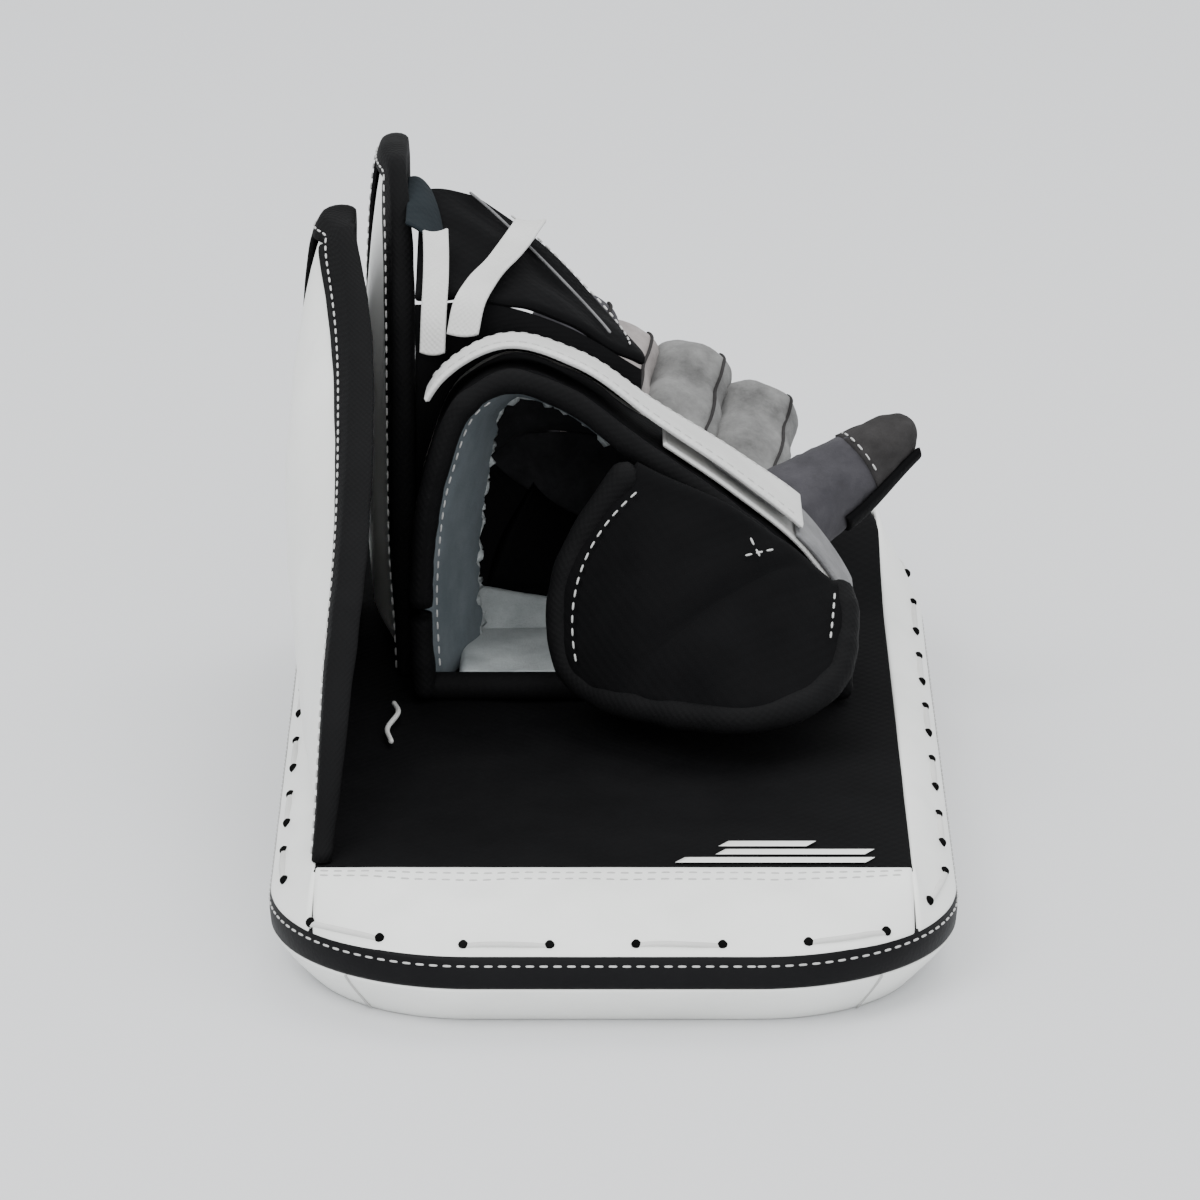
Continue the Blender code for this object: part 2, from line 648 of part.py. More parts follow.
def make_hand():
    """The palm panel, the glove's back and the pad that lifts it off the board."""
    layer("palm_panel", palm_side, -HAND_WALL, 0.0, 18, 5, "grey_suede")
    layer("glove_back", back_side, 0.0, HAND_WALL, 12, 5, "black_nylon")

    def pad(u, v, side):
        low = 0.42
        top = shifted(back_side, 0.1 + 0.8 * u, low + (0.98 - low) * v, np.full(u.shape, -2 * GAP))
        if side == 0:
            top[:, 2] = FLOOR
        return top
    sheet("hand_back_pad", pad, 8, 3, "black_nylon")


def digit_loops(base, aim, wide, deep, half_wide, half_deep, length, wall, sides=12):
    """Loops of a sleeve with a closed round tip: inside from the tip back, then outside."""
    def loop(distance, size, shrink):
        points = []
        for step in range(sides):
            angle = 2 * math.pi * step / sides
            across = wide * math.cos(angle) * (half_wide - shrink) * size
            up = deep * math.sin(angle) * (half_deep - shrink) * size
            points.append(base + aim * distance + across + up)
        return points
    shape = ((0.0, 1.0), (0.35, 1.0), (0.66, 0.97), (0.84, 0.86), (0.95, 0.60), (1.0, 0.25))
    outside = [loop(share * length, size, 0.0) for share, size in shape]
    inside = [loop(share * (length - wall), size, wall) for share, size in shape]
    return inside[::-1] + outside


def finger_frame():
    """The fingers' direction, and the direction of their knuckle axes."""
    aim = np.array((0.0, math.cos(FINGER_RISE), 0.0)) + PALM_NORMAL * math.sin(FINGER_RISE)
    return aim, PALM_ACROSS


def finger_base(order):
    """The knuckle of a finger, counted from the index finger; the four share the palm's middle."""
    middle = np.array((PALM_CENTRE[0], HAND_FAR + KNUCKLE_GAP, PALM_CENTRE[1]))
    return middle + PALM_ACROSS * FINGER_PITCH * ((len(FINGER_LENGTHS) - 1) / 2 - order)


def make_digits():
    """Four finger sleeves and the thumb with its guard."""
    aim, across = finger_frame()
    deep = np.cross(across, aim)
    for order, (name, length) in enumerate(FINGER_LENGTHS.items()):
        base = finger_base(order)
        loops = digit_loops(base, aim, across, deep, FINGER_WIDTH / 2, FINGER_DEPTH / 2, length, FINGER_WALL)
        lofted(name + "_finger", loops, "grey_suede", tuple(base))
    base = np.array(THUMB_BASE)
    aim = np.array(THUMB_AIM) / np.linalg.norm(THUMB_AIM)
    hinge = np.cross(aim, PALM_NORMAL)
    hinge /= np.linalg.norm(hinge)
    up = np.cross(hinge, aim)
    loops = digit_loops(base, aim, hinge, up, THUMB_RADIUS, THUMB_RADIUS, THUMB_LENGTH, FINGER_WALL)
    lofted("thumb_sleeve", loops, "thumb_suede", tuple(base))

    def guard(u, v, side):
        angle = math.radians(190.0) + math.radians(160.0) * u
        taper = 1.0 - 0.14 * ease((v - 0.5) * 2)
        radius = THUMB_RADIUS * taper + 2 * GAP + (THUMB_GUARD if side else 0.0)
        spoke = np.cos(angle)[:, None] * hinge + np.sin(angle)[:, None] * up
        distance = 0.1 * THUMB_LENGTH + 0.82 * THUMB_LENGTH * v
        return base + aim * distance[:, None] + spoke * radius[:, None]
    sheet("thumb_guard", guard, 8, 4, "black_nylon", tuple(base))


# ---------------------------------------------------------------- the finger guard

GUARD_NET = (
    ((-62.0, 52.0, 150.0), (-40.0, 52.0, 150.5), (-15.0, 52.0, 143.0), (9.0, 53.0, 128.5)),
    ((-62.0, 88.0, 160.0), (-45.0, 88.0, 158.5), (-25.0, 86.0, 150.0), (-2.0, 82.0, 136.0)),
    ((-62.0, 122.0, 166.0), (-55.0, 123.0, 167.0), (-47.0, 122.0, 166.5), (-38.0, 118.0, 163.5)),
)


def guard_face(u, v):
    """The guard's underside: u from the wing to its free edge, v towards the fingers."""
    rows = [along(row, u) for row in GUARD_NET]
    weights = ((2 * v - 1) * (v - 1), 4 * v * (1 - v), v * (2 * v - 1))
    return sum(row * weight[:, None] for row, weight in zip(rows, weights))


ELASTIC_ROUTE = ((-26.0, 100.0, 164.5), (-34.0, 72.0, 160.5), (-41.0, 54.0, 157.0), (-45.0, 46.0, 151.5),
                 (-47.0, 42.5, 143.0))
TENSION_ROUTE = ((-56.0, 76.0, 167.5), (-55.5, 62.0, 163.0), (-55.5, 52.0, 157.5), (-56.0, 45.5, 149.0),
                 (-56.5, 42.5, 137.0))


def ribbon(route, width):
    """A strip along a route, its width lying along X."""
    def surface(u, v):
        return along(route, v) + ((u - 0.5) * width)[:, None] * np.array((1.0, 0.0, 0.0))
    return surface


def make_guard():
    """The black guard between the finger wing and the hand, with two elastic straps over it."""
    pivot = WING_AXIS
    layer("finger_guard", guard_face, 0.0, GUARD, 8, 6, "black_nylon", pivot)
    layer("elastic_strap", ribbon(ELASTIC_ROUTE, ELASTIC_WIDTH), 0.0, -ELASTIC, 2, 10,
          "white_webbing", pivot)
    layer("tension_strap", ribbon(TENSION_ROUTE, 0.8 * ELASTIC_WIDTH), 0.0, -ELASTIC, 2, 10,
          "white_webbing", pivot)


def main():
    for old in list(bpy.data.objects):
        bpy.data.objects.remove(old, do_unlink=True)
    make_board()
    make_wing("wrist_wing", WRIST_WING)
    make_wing("finger_wing", FINGER_WING)
    make_lace_end()
    make_cuff()
    make_flap()
    make_straps()
    make_hand()
    make_digits()
    make_guard()


main()
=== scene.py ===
"""Goalie blocker: the looks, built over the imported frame.

The frame gives the bodies, joints and boxes. Sizes here are in millimetres, as in the frame's
source, and meshes are made in metres. +Y runs from the wrist end to the finger end, +X to the thumb.
"""
import math

import bpy
import numpy as np
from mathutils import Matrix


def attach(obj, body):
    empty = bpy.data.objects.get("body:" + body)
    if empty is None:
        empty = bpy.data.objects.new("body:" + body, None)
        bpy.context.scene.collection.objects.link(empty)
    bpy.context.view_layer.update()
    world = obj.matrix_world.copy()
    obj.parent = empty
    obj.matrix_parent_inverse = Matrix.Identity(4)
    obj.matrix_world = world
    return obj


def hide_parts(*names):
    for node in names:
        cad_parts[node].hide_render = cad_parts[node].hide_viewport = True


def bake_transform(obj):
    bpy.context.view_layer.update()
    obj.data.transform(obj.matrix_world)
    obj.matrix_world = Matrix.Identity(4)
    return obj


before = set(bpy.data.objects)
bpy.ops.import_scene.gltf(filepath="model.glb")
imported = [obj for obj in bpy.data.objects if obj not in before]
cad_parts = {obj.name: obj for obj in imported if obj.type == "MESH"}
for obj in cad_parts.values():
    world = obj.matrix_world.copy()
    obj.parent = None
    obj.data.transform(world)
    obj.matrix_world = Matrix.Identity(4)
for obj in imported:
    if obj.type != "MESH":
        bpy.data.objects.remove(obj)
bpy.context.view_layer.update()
MM = 0.001

# ---------------------------------------------------------------- sizes shared with the frame

BOARD_WIDTH = 203.0
BOARD_LENGTH = 381.0
BOARD_CORNER = 60.0
CORNER_STEPS = 24
BAND_TOP = 23.5
BACK_HEIGHT = 36.5
BACK_HALF_WIDTH = 88.0
BACK_NEAR = -150.0
BACK_FAR = 165.5
BACK_LIFT = 12.5
LIFT_START = 84.0
LIFT_RUN = 80.0
WRIST_PANEL_RUN = 42.0
FINGER_PANEL_RUN = 27.0
STRIP_RUN = 18.2
PANEL_CROWN = 2.5
LACE_PITCH = 25.0
LACE_UP = 5.0
LACE_END_RADIUS = 0.8
FLOOR = 36.8
CUFF_MOUTH = 5.0
CUFF_BACK = 50.0
HAND_NEAR = 50.4
HAND_FAR = 88.0
PALM_TILT = math.radians(23.5)
PALM_ACROSS = np.array((math.cos(PALM_TILT), 0.0, -math.sin(PALM_TILT)))
PALM_NORMAL = np.array((math.sin(PALM_TILT), 0.0, math.cos(PALM_TILT)))
FINGER_RISE = math.radians(27.0)
FINGER_AIM = np.array((0.0, math.cos(FINGER_RISE), 0.0)) + PALM_NORMAL * math.sin(FINGER_RISE)
FINGER_PITCH = 25.1
FINGER_HALF_WIDTH = 14.2
FINGER_HALF_DEPTH = 12.2
TIP_ROUND = 9.0
FINGER_LENGTHS = {"index": 62.0, "middle": 68.0, "ring": 64.0, "little": 54.0}
INDEX_BASE = np.array((39.0, 100.0, 67.0))
THUMB_BASE = np.array((64.0, 77.0, 79.5))
THUMB_GIRTH = 12.8
THUMB_LENGTH = 41.0
THUMB_AIM = np.array((0.80, 0.36, 0.48)) / math.sqrt(0.80 ** 2 + 0.36 ** 2 + 0.48 ** 2)


# ---------------------------------------------------------------- shapes

def blend(a, b, share):
    """A share of the way from a to b."""
    return a + (b - a) * share


def ease(share):
    """0 to 1 with a soft start and end."""
    share = np.clip(share, 0.0, 1.0)
    return share * share * (3.0 - 2.0 * share)


def unit(v):
    """v at length one, along its last axis."""
    return v / np.maximum(np.linalg.norm(v, axis=-1, keepdims=True), 1e-9)


def along(points, share):
    """Points on a smooth (Hermite) curve through points, at shares 0 to 1 of its length."""
    points = np.asarray(points, float)
    steps = np.linalg.norm(np.diff(points, axis=0), axis=1)
    knots = np.concatenate(([0.0], np.cumsum(steps))) / steps.sum()
    slopes = np.gradient(points, knots, axis=0)
    share = np.clip(np.asarray(share, float), 0.0, 1.0)
    cell = np.clip(np.searchsorted(knots, share, side="right") - 1, 0, len(knots) - 2)
    width = (knots[cell + 1] - knots[cell])[..., None]
    s = (share - knots[cell])[..., None] / width
    start = points[cell] * (1 + 2 * s) * (1 - s) ** 2 + slopes[cell] * width * s * (1 - s) ** 2
    end = points[cell + 1] * s ** 2 * (3 - 2 * s) - slopes[cell + 1] * width * s ** 2 * (1 - s)
    return start + end


def shifted(base, u, v, distance):
    """base(u, v) moved along its own normal."""
    step = 0.008
    du = base(np.minimum(u + step, 1), v) - base(np.maximum(u - step, 0), v)
    dv = base(u, np.minimum(v + step, 1)) - base(u, np.maximum(v - step, 0))
    return base(u, v) + unit(np.cross(du, dv)) * np.asarray(distance)[..., None]


def ripple(points, size, seed=1, waves=7):
    """Smooth, even noise from -1 to 1: a sum of sine waves about size millimetres long."""
    random = np.random.default_rng(seed)
    ways = unit(random.normal(size=(waves, 3))) * (2 * math.pi / size)
    ways *= random.uniform(0.6, 1.7, (waves, 1))
    phases = random.uniform(0, 2 * math.pi, waves)
    return np.sin(points @ ways.T + phases).sum(axis=-1) / math.sqrt(waves) * 0.7


def spaced(count, ends=0.6):
    """Shares from 0 to 1, closer together near both ends."""
    even = np.linspace(0.0, 1.0, count)
    return blend(even, 0.5 - 0.5 * np.cos(math.pi * even), ends)


def softened(path, rounds):
    """A path with its corners rounded by repeated averaging; its ends stay."""
    path = path.copy()
    for _ in range(rounds):
        path[1:-1] = 0.25 * path[:-2] + 0.5 * path[1:-1] + 0.25 * path[2:]
    return path


def resample(path, step, closed=False):
    """Points at an even step along a path."""
    path = np.asarray(path, float)
    if closed:
        path = np.vstack((path, path[:1]))
    length = np.concatenate(([0.0], np.cumsum(np.linalg.norm(np.diff(path, axis=0), axis=1))))
    count = max(int(round(length[-1] / step)), 2)
    at = np.linspace(0.0, length[-1], count + 1)
    out = np.stack([np.interp(at, length, path[:, i]) for i in range(3)], axis=1)
    return out[:-1] if closed else out


# ---------------------------------------------------------------- meshes

def mesh_object(name, points, faces, material, uv=None):
    """One smooth object in metres; uv holds one pair for each point, in metres along the cloth."""
    mesh = bpy.data.meshes.new(name)
    mesh.from_pydata((np.asarray(points) * MM).tolist(), [], np.asarray(faces).tolist())
    mesh.validate()
    if uv is not None:
        layer = mesh.uv_layers.new(name="cloth")
        corners = np.empty(len(mesh.loops), dtype=np.int32)
        mesh.loops.foreach_get("vertex_index", corners)
        layer.data.foreach_set("uv", (np.asarray(uv)[corners] * MM).ravel())
    mesh.shade_smooth()
    mesh.materials.append(material)
    made = bpy.data.objects.new(name, mesh)
    bpy.context.scene.collection.objects.link(made)
    return made


def grid_faces(rows, columns, wrap=False):
    """Quads of a grid of points numbered row by row; wrap joins the last column to the first."""
    across = columns if wrap else columns - 1
    r, c = np.meshgrid(np.arange(rows - 1), np.arange(across), indexing="ij")
    a = (r * columns + c).ravel()
    b = (r * columns + (c + 1) % columns).ravel()
    return np.stack((a, b, b + columns, a + columns), axis=1)


EDGES = {}


def settle(piece, held, pressure, reach, frames=20):
    """Lets a padded piece's cloth settle: pressure fills it while its sewn rims are held.

    Points within held millimetres of the rim stay; others move reach millimetres at most.
    """
    mesh = piece.data
    start = np.empty(len(mesh.vertices) * 3)
    mesh.vertices.foreach_get("co", start)
    start = start.reshape(-1, 3)
    sewn = piece.vertex_groups.new(name="sewn")
    sewn.add(np.flatnonzero(EDGES[piece.name] < held).tolist(), 1.0, "REPLACE")
    cloth = piece.modifiers.new("settling", "CLOTH")
    cloth.settings.quality = 6
    cloth.settings.mass = 0.15
    cloth.settings.tension_stiffness = 12.0
    cloth.settings.compression_stiffness = 12.0
    cloth.settings.shear_stiffness = 6.0
    cloth.settings.bending_stiffness = 0.15
    cloth.settings.vertex_group_mass = "sewn"
    cloth.settings.use_pressure = True
    cloth.settings.uniform_pressure_force = pressure
    cloth.settings.effector_weights.gravity = 0.0
    cloth.collision_settings.use_collision = False
    cloth.point_cache.frame_start = 1
    cloth.point_cache.frame_end = frames
    for frame_number in range(1, frames + 1):
        bpy.context.scene.frame_set(frame_number)
    posed = piece.evaluated_get(bpy.context.evaluated_depsgraph_get())
    end = np.empty(len(mesh.vertices) * 3)
    posed.data.vertices.foreach_get("co", end)
    move = end.reshape(-1, 3) - start
    size = np.maximum(np.linalg.norm(move, axis=1, keepdims=True), 1e-9)
    move *= np.minimum(1.0, reach * MM * np.tanh(size / (reach * MM)) / size)
    piece.modifiers.remove(cloth)
    piece.vertex_groups.remove(sewn)
    mesh.vertices.foreach_set("co", (start + move).ravel())
    mesh.update()
    bpy.context.scene.frame_set(1)


def pad(name, face, thickness, material, counts=(60, 40), rim=1.0, crown=0.0):
    """A closed sheet with rounded rims.

    face(u, v) is its middle surface; thickness may be a number or a function of u and v. Within
    rim millimetres of the edge the thickness falls as a quarter circle; crown swells the middle.
    """
    columns, rows = counts
    u, v = np.meshgrid(spaced(columns), spaced(rows))
    u, v = u.ravel(), v.ravel()
    middle = face(u, v)
    lines = middle.reshape(rows, columns, 3)
    run_u = np.zeros((rows, columns))
    run_u[:, 1:] = np.cumsum(np.linalg.norm(np.diff(lines, axis=1), axis=2), axis=1)
    run_v = np.zeros((rows, columns))
    run_v[1:] = np.cumsum(np.linalg.norm(np.diff(lines, axis=0), axis=2), axis=0)
    edge = np.minimum(np.minimum(run_u, run_u[:, -1:] - run_u), np.minimum(run_v, run_v[-1:] - run_v))
    fall = np.clip(1.0 - edge.ravel() / rim, 0.0, 1.0)
    full = thickness(u, v) if callable(thickness) else np.full(u.shape, float(thickness))
    swell = crown * (np.clip(edge.ravel() / max(edge.max(), 1e-6), 0, 1) ** 0.6)
    half = (full / 2 + swell / 2) * np.sqrt(np.maximum(1.0 - fall ** 2, 0.002))
    points = np.concatenate((shifted(face, u, v, -half), shifted(face, u, v, half)))
    low = grid_faces(rows, columns)
    count = rows * columns
    ring = np.concatenate((np.arange(columns), np.arange(1, rows) * columns + columns - 1,
                           np.arange(columns - 2, -1, -1) + (rows - 1) * columns,
                           np.arange(rows - 2, 0, -1) * columns))
    after = np.roll(ring, -1)
    sides = np.stack((ring, after, after + count, ring + count), axis=1)
    faces = np.concatenate((low[:, ::-1], low + count, sides))
    uv = np.stack((run_u.ravel(), run_v.ravel()), axis=1)
    made = mesh_object(name, points, faces, material, np.concatenate((uv, uv)))
    EDGES[made.name] = np.tile(edge.ravel(), 2)
    return made


def cloth(piece, held, *rests_on):
    """Returns the piece unchanged."""
    return piece


def loft(name, loops, material, ring=False):
    """A skin over loops of equal length, each anticlockwise seen from the last loop's side."""
    loops = np.asarray(loops, float)
    rows, columns = loops.shape[:2]
    stack = np.concatenate((loops, loops[:1])) if ring else loops
    run_v = np.linalg.norm(np.diff(stack[:rows], axis=0), axis=2).mean(axis=1)
    run_v = np.concatenate(([0.0], np.cumsum(run_v)))
    widest = loops[np.argmax([np.ptp(loop) for loop in loops])]
    run_u = np.concatenate(([0.0], np.cumsum(np.linalg.norm(np.diff(widest, axis=0), axis=1))))
    uv = np.stack(np.meshgrid(run_u, run_v), axis=-1).reshape(-1, 2)
    faces = grid_faces(rows + (1 if ring else 0), columns, wrap=True)
    faces = (faces % (rows * columns)).tolist()
    if not ring:
        faces.append(list(range(columns))[::-1])
        faces.append([(rows - 1) * columns + i for i in range(columns)])
    make = mesh_object if ring else capped
    return make(name, loops.reshape(-1, 3), faces, material, uv)


def capped(name, points, faces, material, uv):
    """A loft's mesh, whose two flat caps have more corners than its sides."""
    mesh = bpy.data.meshes.new(name)
    mesh.from_pydata((points * MM).tolist(), [], faces)
    layer = mesh.uv_layers.new(name="cloth")
    corners = np.empty(len(mesh.loops), dtype=np.int32)
    mesh.loops.foreach_get("vertex_index", corners)
    layer.data.foreach_set("uv", (uv[corners] * MM).ravel())
    mesh.shade_smooth()
    mesh.materials.append(material)
    made = bpy.data.objects.new(name, mesh)
    bpy.context.scene.collection.objects.link(made)
    return made


def rope(name, path, radius, material, sides=10, flat=1.0):
    """A tube along a path with rounded ends; radius may change along it."""
    path = np.asarray(path, float)
    count = len(path)
    radius = np.broadcast_to(np.asarray(radius, float), (count,))
    ahead = unit(np.gradient(path, axis=0))
    up = np.array((0.0, 0.0, 1.0)) if np.abs(ahead[:, 2]).mean() < 0.9 else np.array((0.0, 1.0, 0.0))
    side = unit(np.cross(ahead, up))
    over = np.cross(side, ahead)
    turn = np.linspace(0, 2 * math.pi, sides, endpoint=False)
    spoke = np.cos(turn)[None, :, None] * side[:, None] + flat * np.sin(turn)[None, :, None] * over[:, None]
    caps = ((-0.75, 0.45), (-0.35, 0.85))
    start = [path[:1, None] + ahead[:1, None] * a * radius[0] + spoke[:1] * b * radius[0] for a, b in caps]
    end = [path[-1:, None] - ahead[-1:, None] * a * radius[-1] + spoke[-1:] * b * radius[-1]
           for a, b in caps[::-1]]
    loops = np.concatenate((*start, path[:, None] + spoke * radius[:, None, None], *end))
    return loft(name, loops, material)


def stitches(name, path, material, stitch=2.5, gap=1.5, radius=0.36, closed=False):
    """A row of sewn stitches: short round-ended threads along a path."""
    dense = resample(path, 0.5, closed)
    if closed:
        dense = np.vstack((dense, dense[:int(2 * stitch)]))
    starts = np.arange(0, len(dense) - int(2 * stitch) - 1, int(2 * (stitch + gap)))
    a = dense[starts]
    b = dense[starts + int(2 * stitch)]
    way = unit(b - a)
    side = unit(np.cross(way, (0.13, 0.21, 0.97)))
    over = np.cross(side, way)
    shares = np.array((0.0, 0.12, 0.5, 0.88, 1.0))
    widths = np.array((0.25, 0.85, 1.0, 0.85, 0.25)) * radius
    turn = np.linspace(0, 2 * math.pi, 6, endpoint=False)
    spoke = (np.cos(turn)[None, None, :, None] * side[:, None, None]
             + np.sin(turn)[None, None, :, None] * over[:, None, None])
    centre = a[:, None, None] + (b - a)[:, None, None] * shares[None, :, None, None]
    points = centre + spoke * widths[None, :, None, None]
    one = grid_faces(5, 6, wrap=True)
    ends = np.array(((0, 5, 4, 3), (0, 3, 2, 1), (24, 25, 26, 27), (24, 27, 28, 29)))
    one = np.concatenate((one, ends))
    offset = (np.arange(len(starts)) * 30)[:, None, None]
    return mesh_object(name, points.reshape(-1, 3), (one[None] + offset).reshape(-1, 4), material)


def belongs(piece, body, slot, *nodes):
    """Ties a piece to its body and hides the frame's nodes that it stands for; slot is not used."""
    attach(piece, body)
    if nodes:
        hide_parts(*nodes)
    return piece


# ---------------------------------------------------------------- materials

def new_group(name, inputs, outputs):
    """An empty shader node group with named sockets."""
    group = bpy.data.node_groups.new(name, "ShaderNodeTree")
    for title, kind, value in inputs:
        socket = group.interface.new_socket(title, in_out="INPUT", socket_type=kind)
        if value is not None:
            socket.default_value = value
    for title, kind in outputs:
        group.interface.new_socket(title, in_out="OUTPUT", socket_type=kind)
    start = group.nodes.new("NodeGroupInput")
    end = group.nodes.new("NodeGroupOutput")
    return group, start, end


def noise(group, vector, scale, detail=4.0, rough=0.6):
    """A noise node fed by a vector and a scale socket."""
    node = group.nodes.new("ShaderNodeTexNoise")
    node.inputs["Detail"].default_value = detail
    node.inputs["Roughness"].default_value = rough
    group.links.new(vector, node.inputs["Vector"])
    if isinstance(scale, (int, float)):
        node.inputs["Scale"].default_value = scale
    else:
        group.links.new(scale, node.inputs["Scale"])
    return node.outputs["Fac"]


def maths(group, kind, a, b=0.5):
    """A maths node; a and b are sockets or numbers."""
    node = group.nodes.new("ShaderNodeMath")
    node.operation = kind
    for socket, value in zip(node.inputs, (a, b)):
        if isinstance(value, (int, float)):
            socket.default_value = value
        else:
            group.links.new(value, socket)
    return node.outputs[0]


SURFACE = (("Height", "NodeSocketFloat"), ("Wear", "NodeSocketFloat"))


def leather_group():
    """Pebbled grain with finer creases, and slow patches of wear."""
    group, start, end = new_group("leather grain", (
        ("Vector", "NodeSocketVector", None), ("Grain Scale", "NodeSocketFloat", 900.0),
        ("Patch Scale", "NodeSocketFloat", 22.0)), SURFACE)
    cells = group.nodes.new("ShaderNodeTexVoronoi")
    cells.feature = "SMOOTH_F1"
    group.links.new(start.outputs["Vector"], cells.inputs["Vector"])
    group.links.new(start.outputs["Grain Scale"], cells.inputs["Scale"])
    crease = noise(group, start.outputs["Vector"], start.outputs["Grain Scale"], 3.0)
    group.links.new(maths(group, "ADD", cells.outputs["Distance"], maths(group, "MULTIPLY", crease, 0.4)),
                    end.inputs["Height"])
    group.links.new(noise(group, start.outputs["Vector"], start.outputs["Patch Scale"], 5.0),
                    end.inputs["Wear"])
    return group


def weave_group():
    """Over-and-under threads along the cloth's own U and V, with fuzz and slow patches."""
    group, start, end = new_group("plain weave", (
        ("Cloth", "NodeSocketVector", None), ("Vector", "NodeSocketVector", None),
        ("Threads", "NodeSocketFloat", 1400.0)), SURFACE)
    split = group.nodes.new("ShaderNodeSeparateXYZ")
    group.links.new(start.outputs["Cloth"], split.inputs[0])
    waves = [maths(group, "SINE", maths(group, "MULTIPLY", split.outputs[i], start.outputs["Threads"]))
             for i in (0, 1)]
    over = maths(group, "MULTIPLY", waves[0], waves[1])
    fuzz = noise(group, start.outputs["Vector"], 1800.0, 3.0)
    group.links.new(maths(group, "ADD", maths(group, "MULTIPLY", over, 0.5), fuzz), end.inputs["Height"])
    group.links.new(noise(group, start.outputs["Vector"], 30.0, 6.0, 0.65), end.inputs["Wear"])
    return group


def nap_group():
    """Brushed fibres: stretched fine noise over slow smudges."""
    group, start, end = new_group("brushed nap", (
        ("Vector", "NodeSocketVector", None), ("Fibre Scale", "NodeSocketFloat", 1100.0),
        ("Smudge Scale", "NodeSocketFloat", 45.0)), SURFACE)
    fibre = noise(group, start.outputs["Vector"], start.outputs["Fibre Scale"], 5.0, 0.75)
    clump = noise(group, start.outputs["Vector"], 260.0, 3.0)
    group.links.new(maths(group, "ADD", fibre, maths(group, "MULTIPLY", clump, 0.7)), end.inputs["Height"])
    group.links.new(noise(group, start.outputs["Vector"], start.outputs["Smudge Scale"], 7.0, 0.7),
                    end.inputs["Wear"])
    return group


GROUPS = {"leather": leather_group(), "weave": weave_group(), "nap": nap_group()}


def finish(name, kind, colour, worn, roughness, bump=0.3, depth=0.0003, sheen=0.0, settings=(), shine=0.3):
    """A material: a surface group drives the bump and mixes the colour with its worn shade."""
    made = bpy.data.materials.new(name)
    made.use_nodes = True
    tree = made.node_tree
    shader = tree.nodes["Principled BSDF"]
    place = tree.nodes.new("ShaderNodeTexCoord")
    surface = tree.nodes.new("ShaderNodeGroup")
    surface.node_tree = GROUPS[kind]
    tree.links.new(place.outputs["Object"], surface.inputs["Vector"])
    if kind == "weave":
        tree.links.new(place.outputs["UV"], surface.inputs["Cloth"])
    for socket, value in settings:
        surface.inputs[socket].default_value = value
    spread_node = tree.nodes.new("ShaderNodeMapRange")
    spread_node.inputs["From Min"].default_value = 0.35
    spread_node.inputs["From Max"].default_value = 0.7
    tree.links.new(surface.outputs["Wear"], spread_node.inputs["Value"])
    mix = tree.nodes.new("ShaderNodeMix")
    mix.data_type = "RGBA"
    mix.inputs[6].default_value = (*colour, 1.0)
    mix.inputs[7].default_value = (*worn, 1.0)
    tree.links.new(spread_node.outputs["Result"], mix.inputs[0])
    tree.links.new(mix.outputs[2], shader.inputs["Base Color"])
    rough = tree.nodes.new("ShaderNodeMapRange")
    rough.inputs["To Min"].default_value = roughness - 0.06
    rough.inputs["To Max"].default_value = min(roughness + 0.08, 1.0)
    tree.links.new(surface.outputs["Wear"], rough.inputs["Value"])
    tree.links.new(rough.outputs["Result"], shader.inputs["Roughness"])
    relief = tree.nodes.new("ShaderNodeBump")
    relief.inputs["Strength"].default_value = bump
    relief.inputs["Distance"].default_value = depth
    tree.links.new(surface.outputs["Height"], relief.inputs["Height"])
    tree.links.new(relief.outputs["Normal"], shader.inputs["Normal"])
    shader.inputs["Specular IOR Level"].default_value = shine
    shader.inputs["Sheen Weight"].default_value = sheen
    shader.inputs["Sheen Roughness"].default_value = 0.5
    return made


LEATHER = finish("white synthetic leather", "leather", (0.90, 0.91, 0.885), (0.83, 0.84, 0.81),
                 0.38, 0.18, shine=0.45)
# Painted shade: mid grey for the creases at the folded front corners, where the white leather is shaded.
FOLD_PAINTED_SHADE = finish("painted fold crease shade", "leather", (0.50, 0.50, 0.49), (0.42, 0.42, 0.41), 0.6, 0.2)
NYLON = finish("black nylon", "weave", (0.0028, 0.0028, 0.0031), (0.0048, 0.0048, 0.0052),
               0.8, 0.35, shine=0.05)
TAPE = finish("black binding tape", "weave", (0.0038, 0.0038, 0.0041), (0.0062, 0.0062, 0.0066),
              0.7, 0.4, settings=(("Threads", 2400.0),), shine=0.07)
BAND = finish("black band leather", "leather", (0.0042, 0.0042, 0.0048), (0.0062, 0.0062, 0.007),
              0.5, 0.2, shine=0.1)
# Painted shade: near black for the shaded inside of each lace hole in the white rim.
LACE_HOLE_PAINTED_SHADE = finish("lace hole", "nap", (0.004, 0.004, 0.004), (0.008, 0.008, 0.008), 0.95, 0.2, shine=0.0)
LINING = finish("blue-grey lining", "nap", (0.105, 0.13, 0.145), (0.17, 0.20, 0.22),
                0.9, 0.5, 0.0005, 0.05)
FELT = finish("pale grey felt", "nap", (0.56, 0.60, 0.60), (0.34, 0.37, 0.375), 0.95, 0.7, 0.0008, 0.05)
# Painted shade: near black for the sheets inside the glove, where its hollow lies in shadow.
INNER_PAINTED_SHADE = finish("painted inner glove shade", "nap", (0.012, 0.012, 0.013), (0.03, 0.03, 0.032),
                     0.95, 0.5, shine=0.05)
TEAL_CLOTH = finish("dark blue-grey cloth", "weave", (0.010, 0.014, 0.017), (0.018, 0.024, 0.028),
                    0.85, 0.3, shine=0.1)
SUEDE = finish("grey suede", "nap", (0.24, 0.24, 0.235), (0.075, 0.074, 0.073),
               0.95, 0.5, 0.0005, 0.1, shine=0.1)
PALE_SUEDE = finish("pale palm suede", "nap", (0.42, 0.41, 0.395), (0.22, 0.215, 0.21),
                    0.95, 0.5, 0.0005, 0.1, shine=0.1)
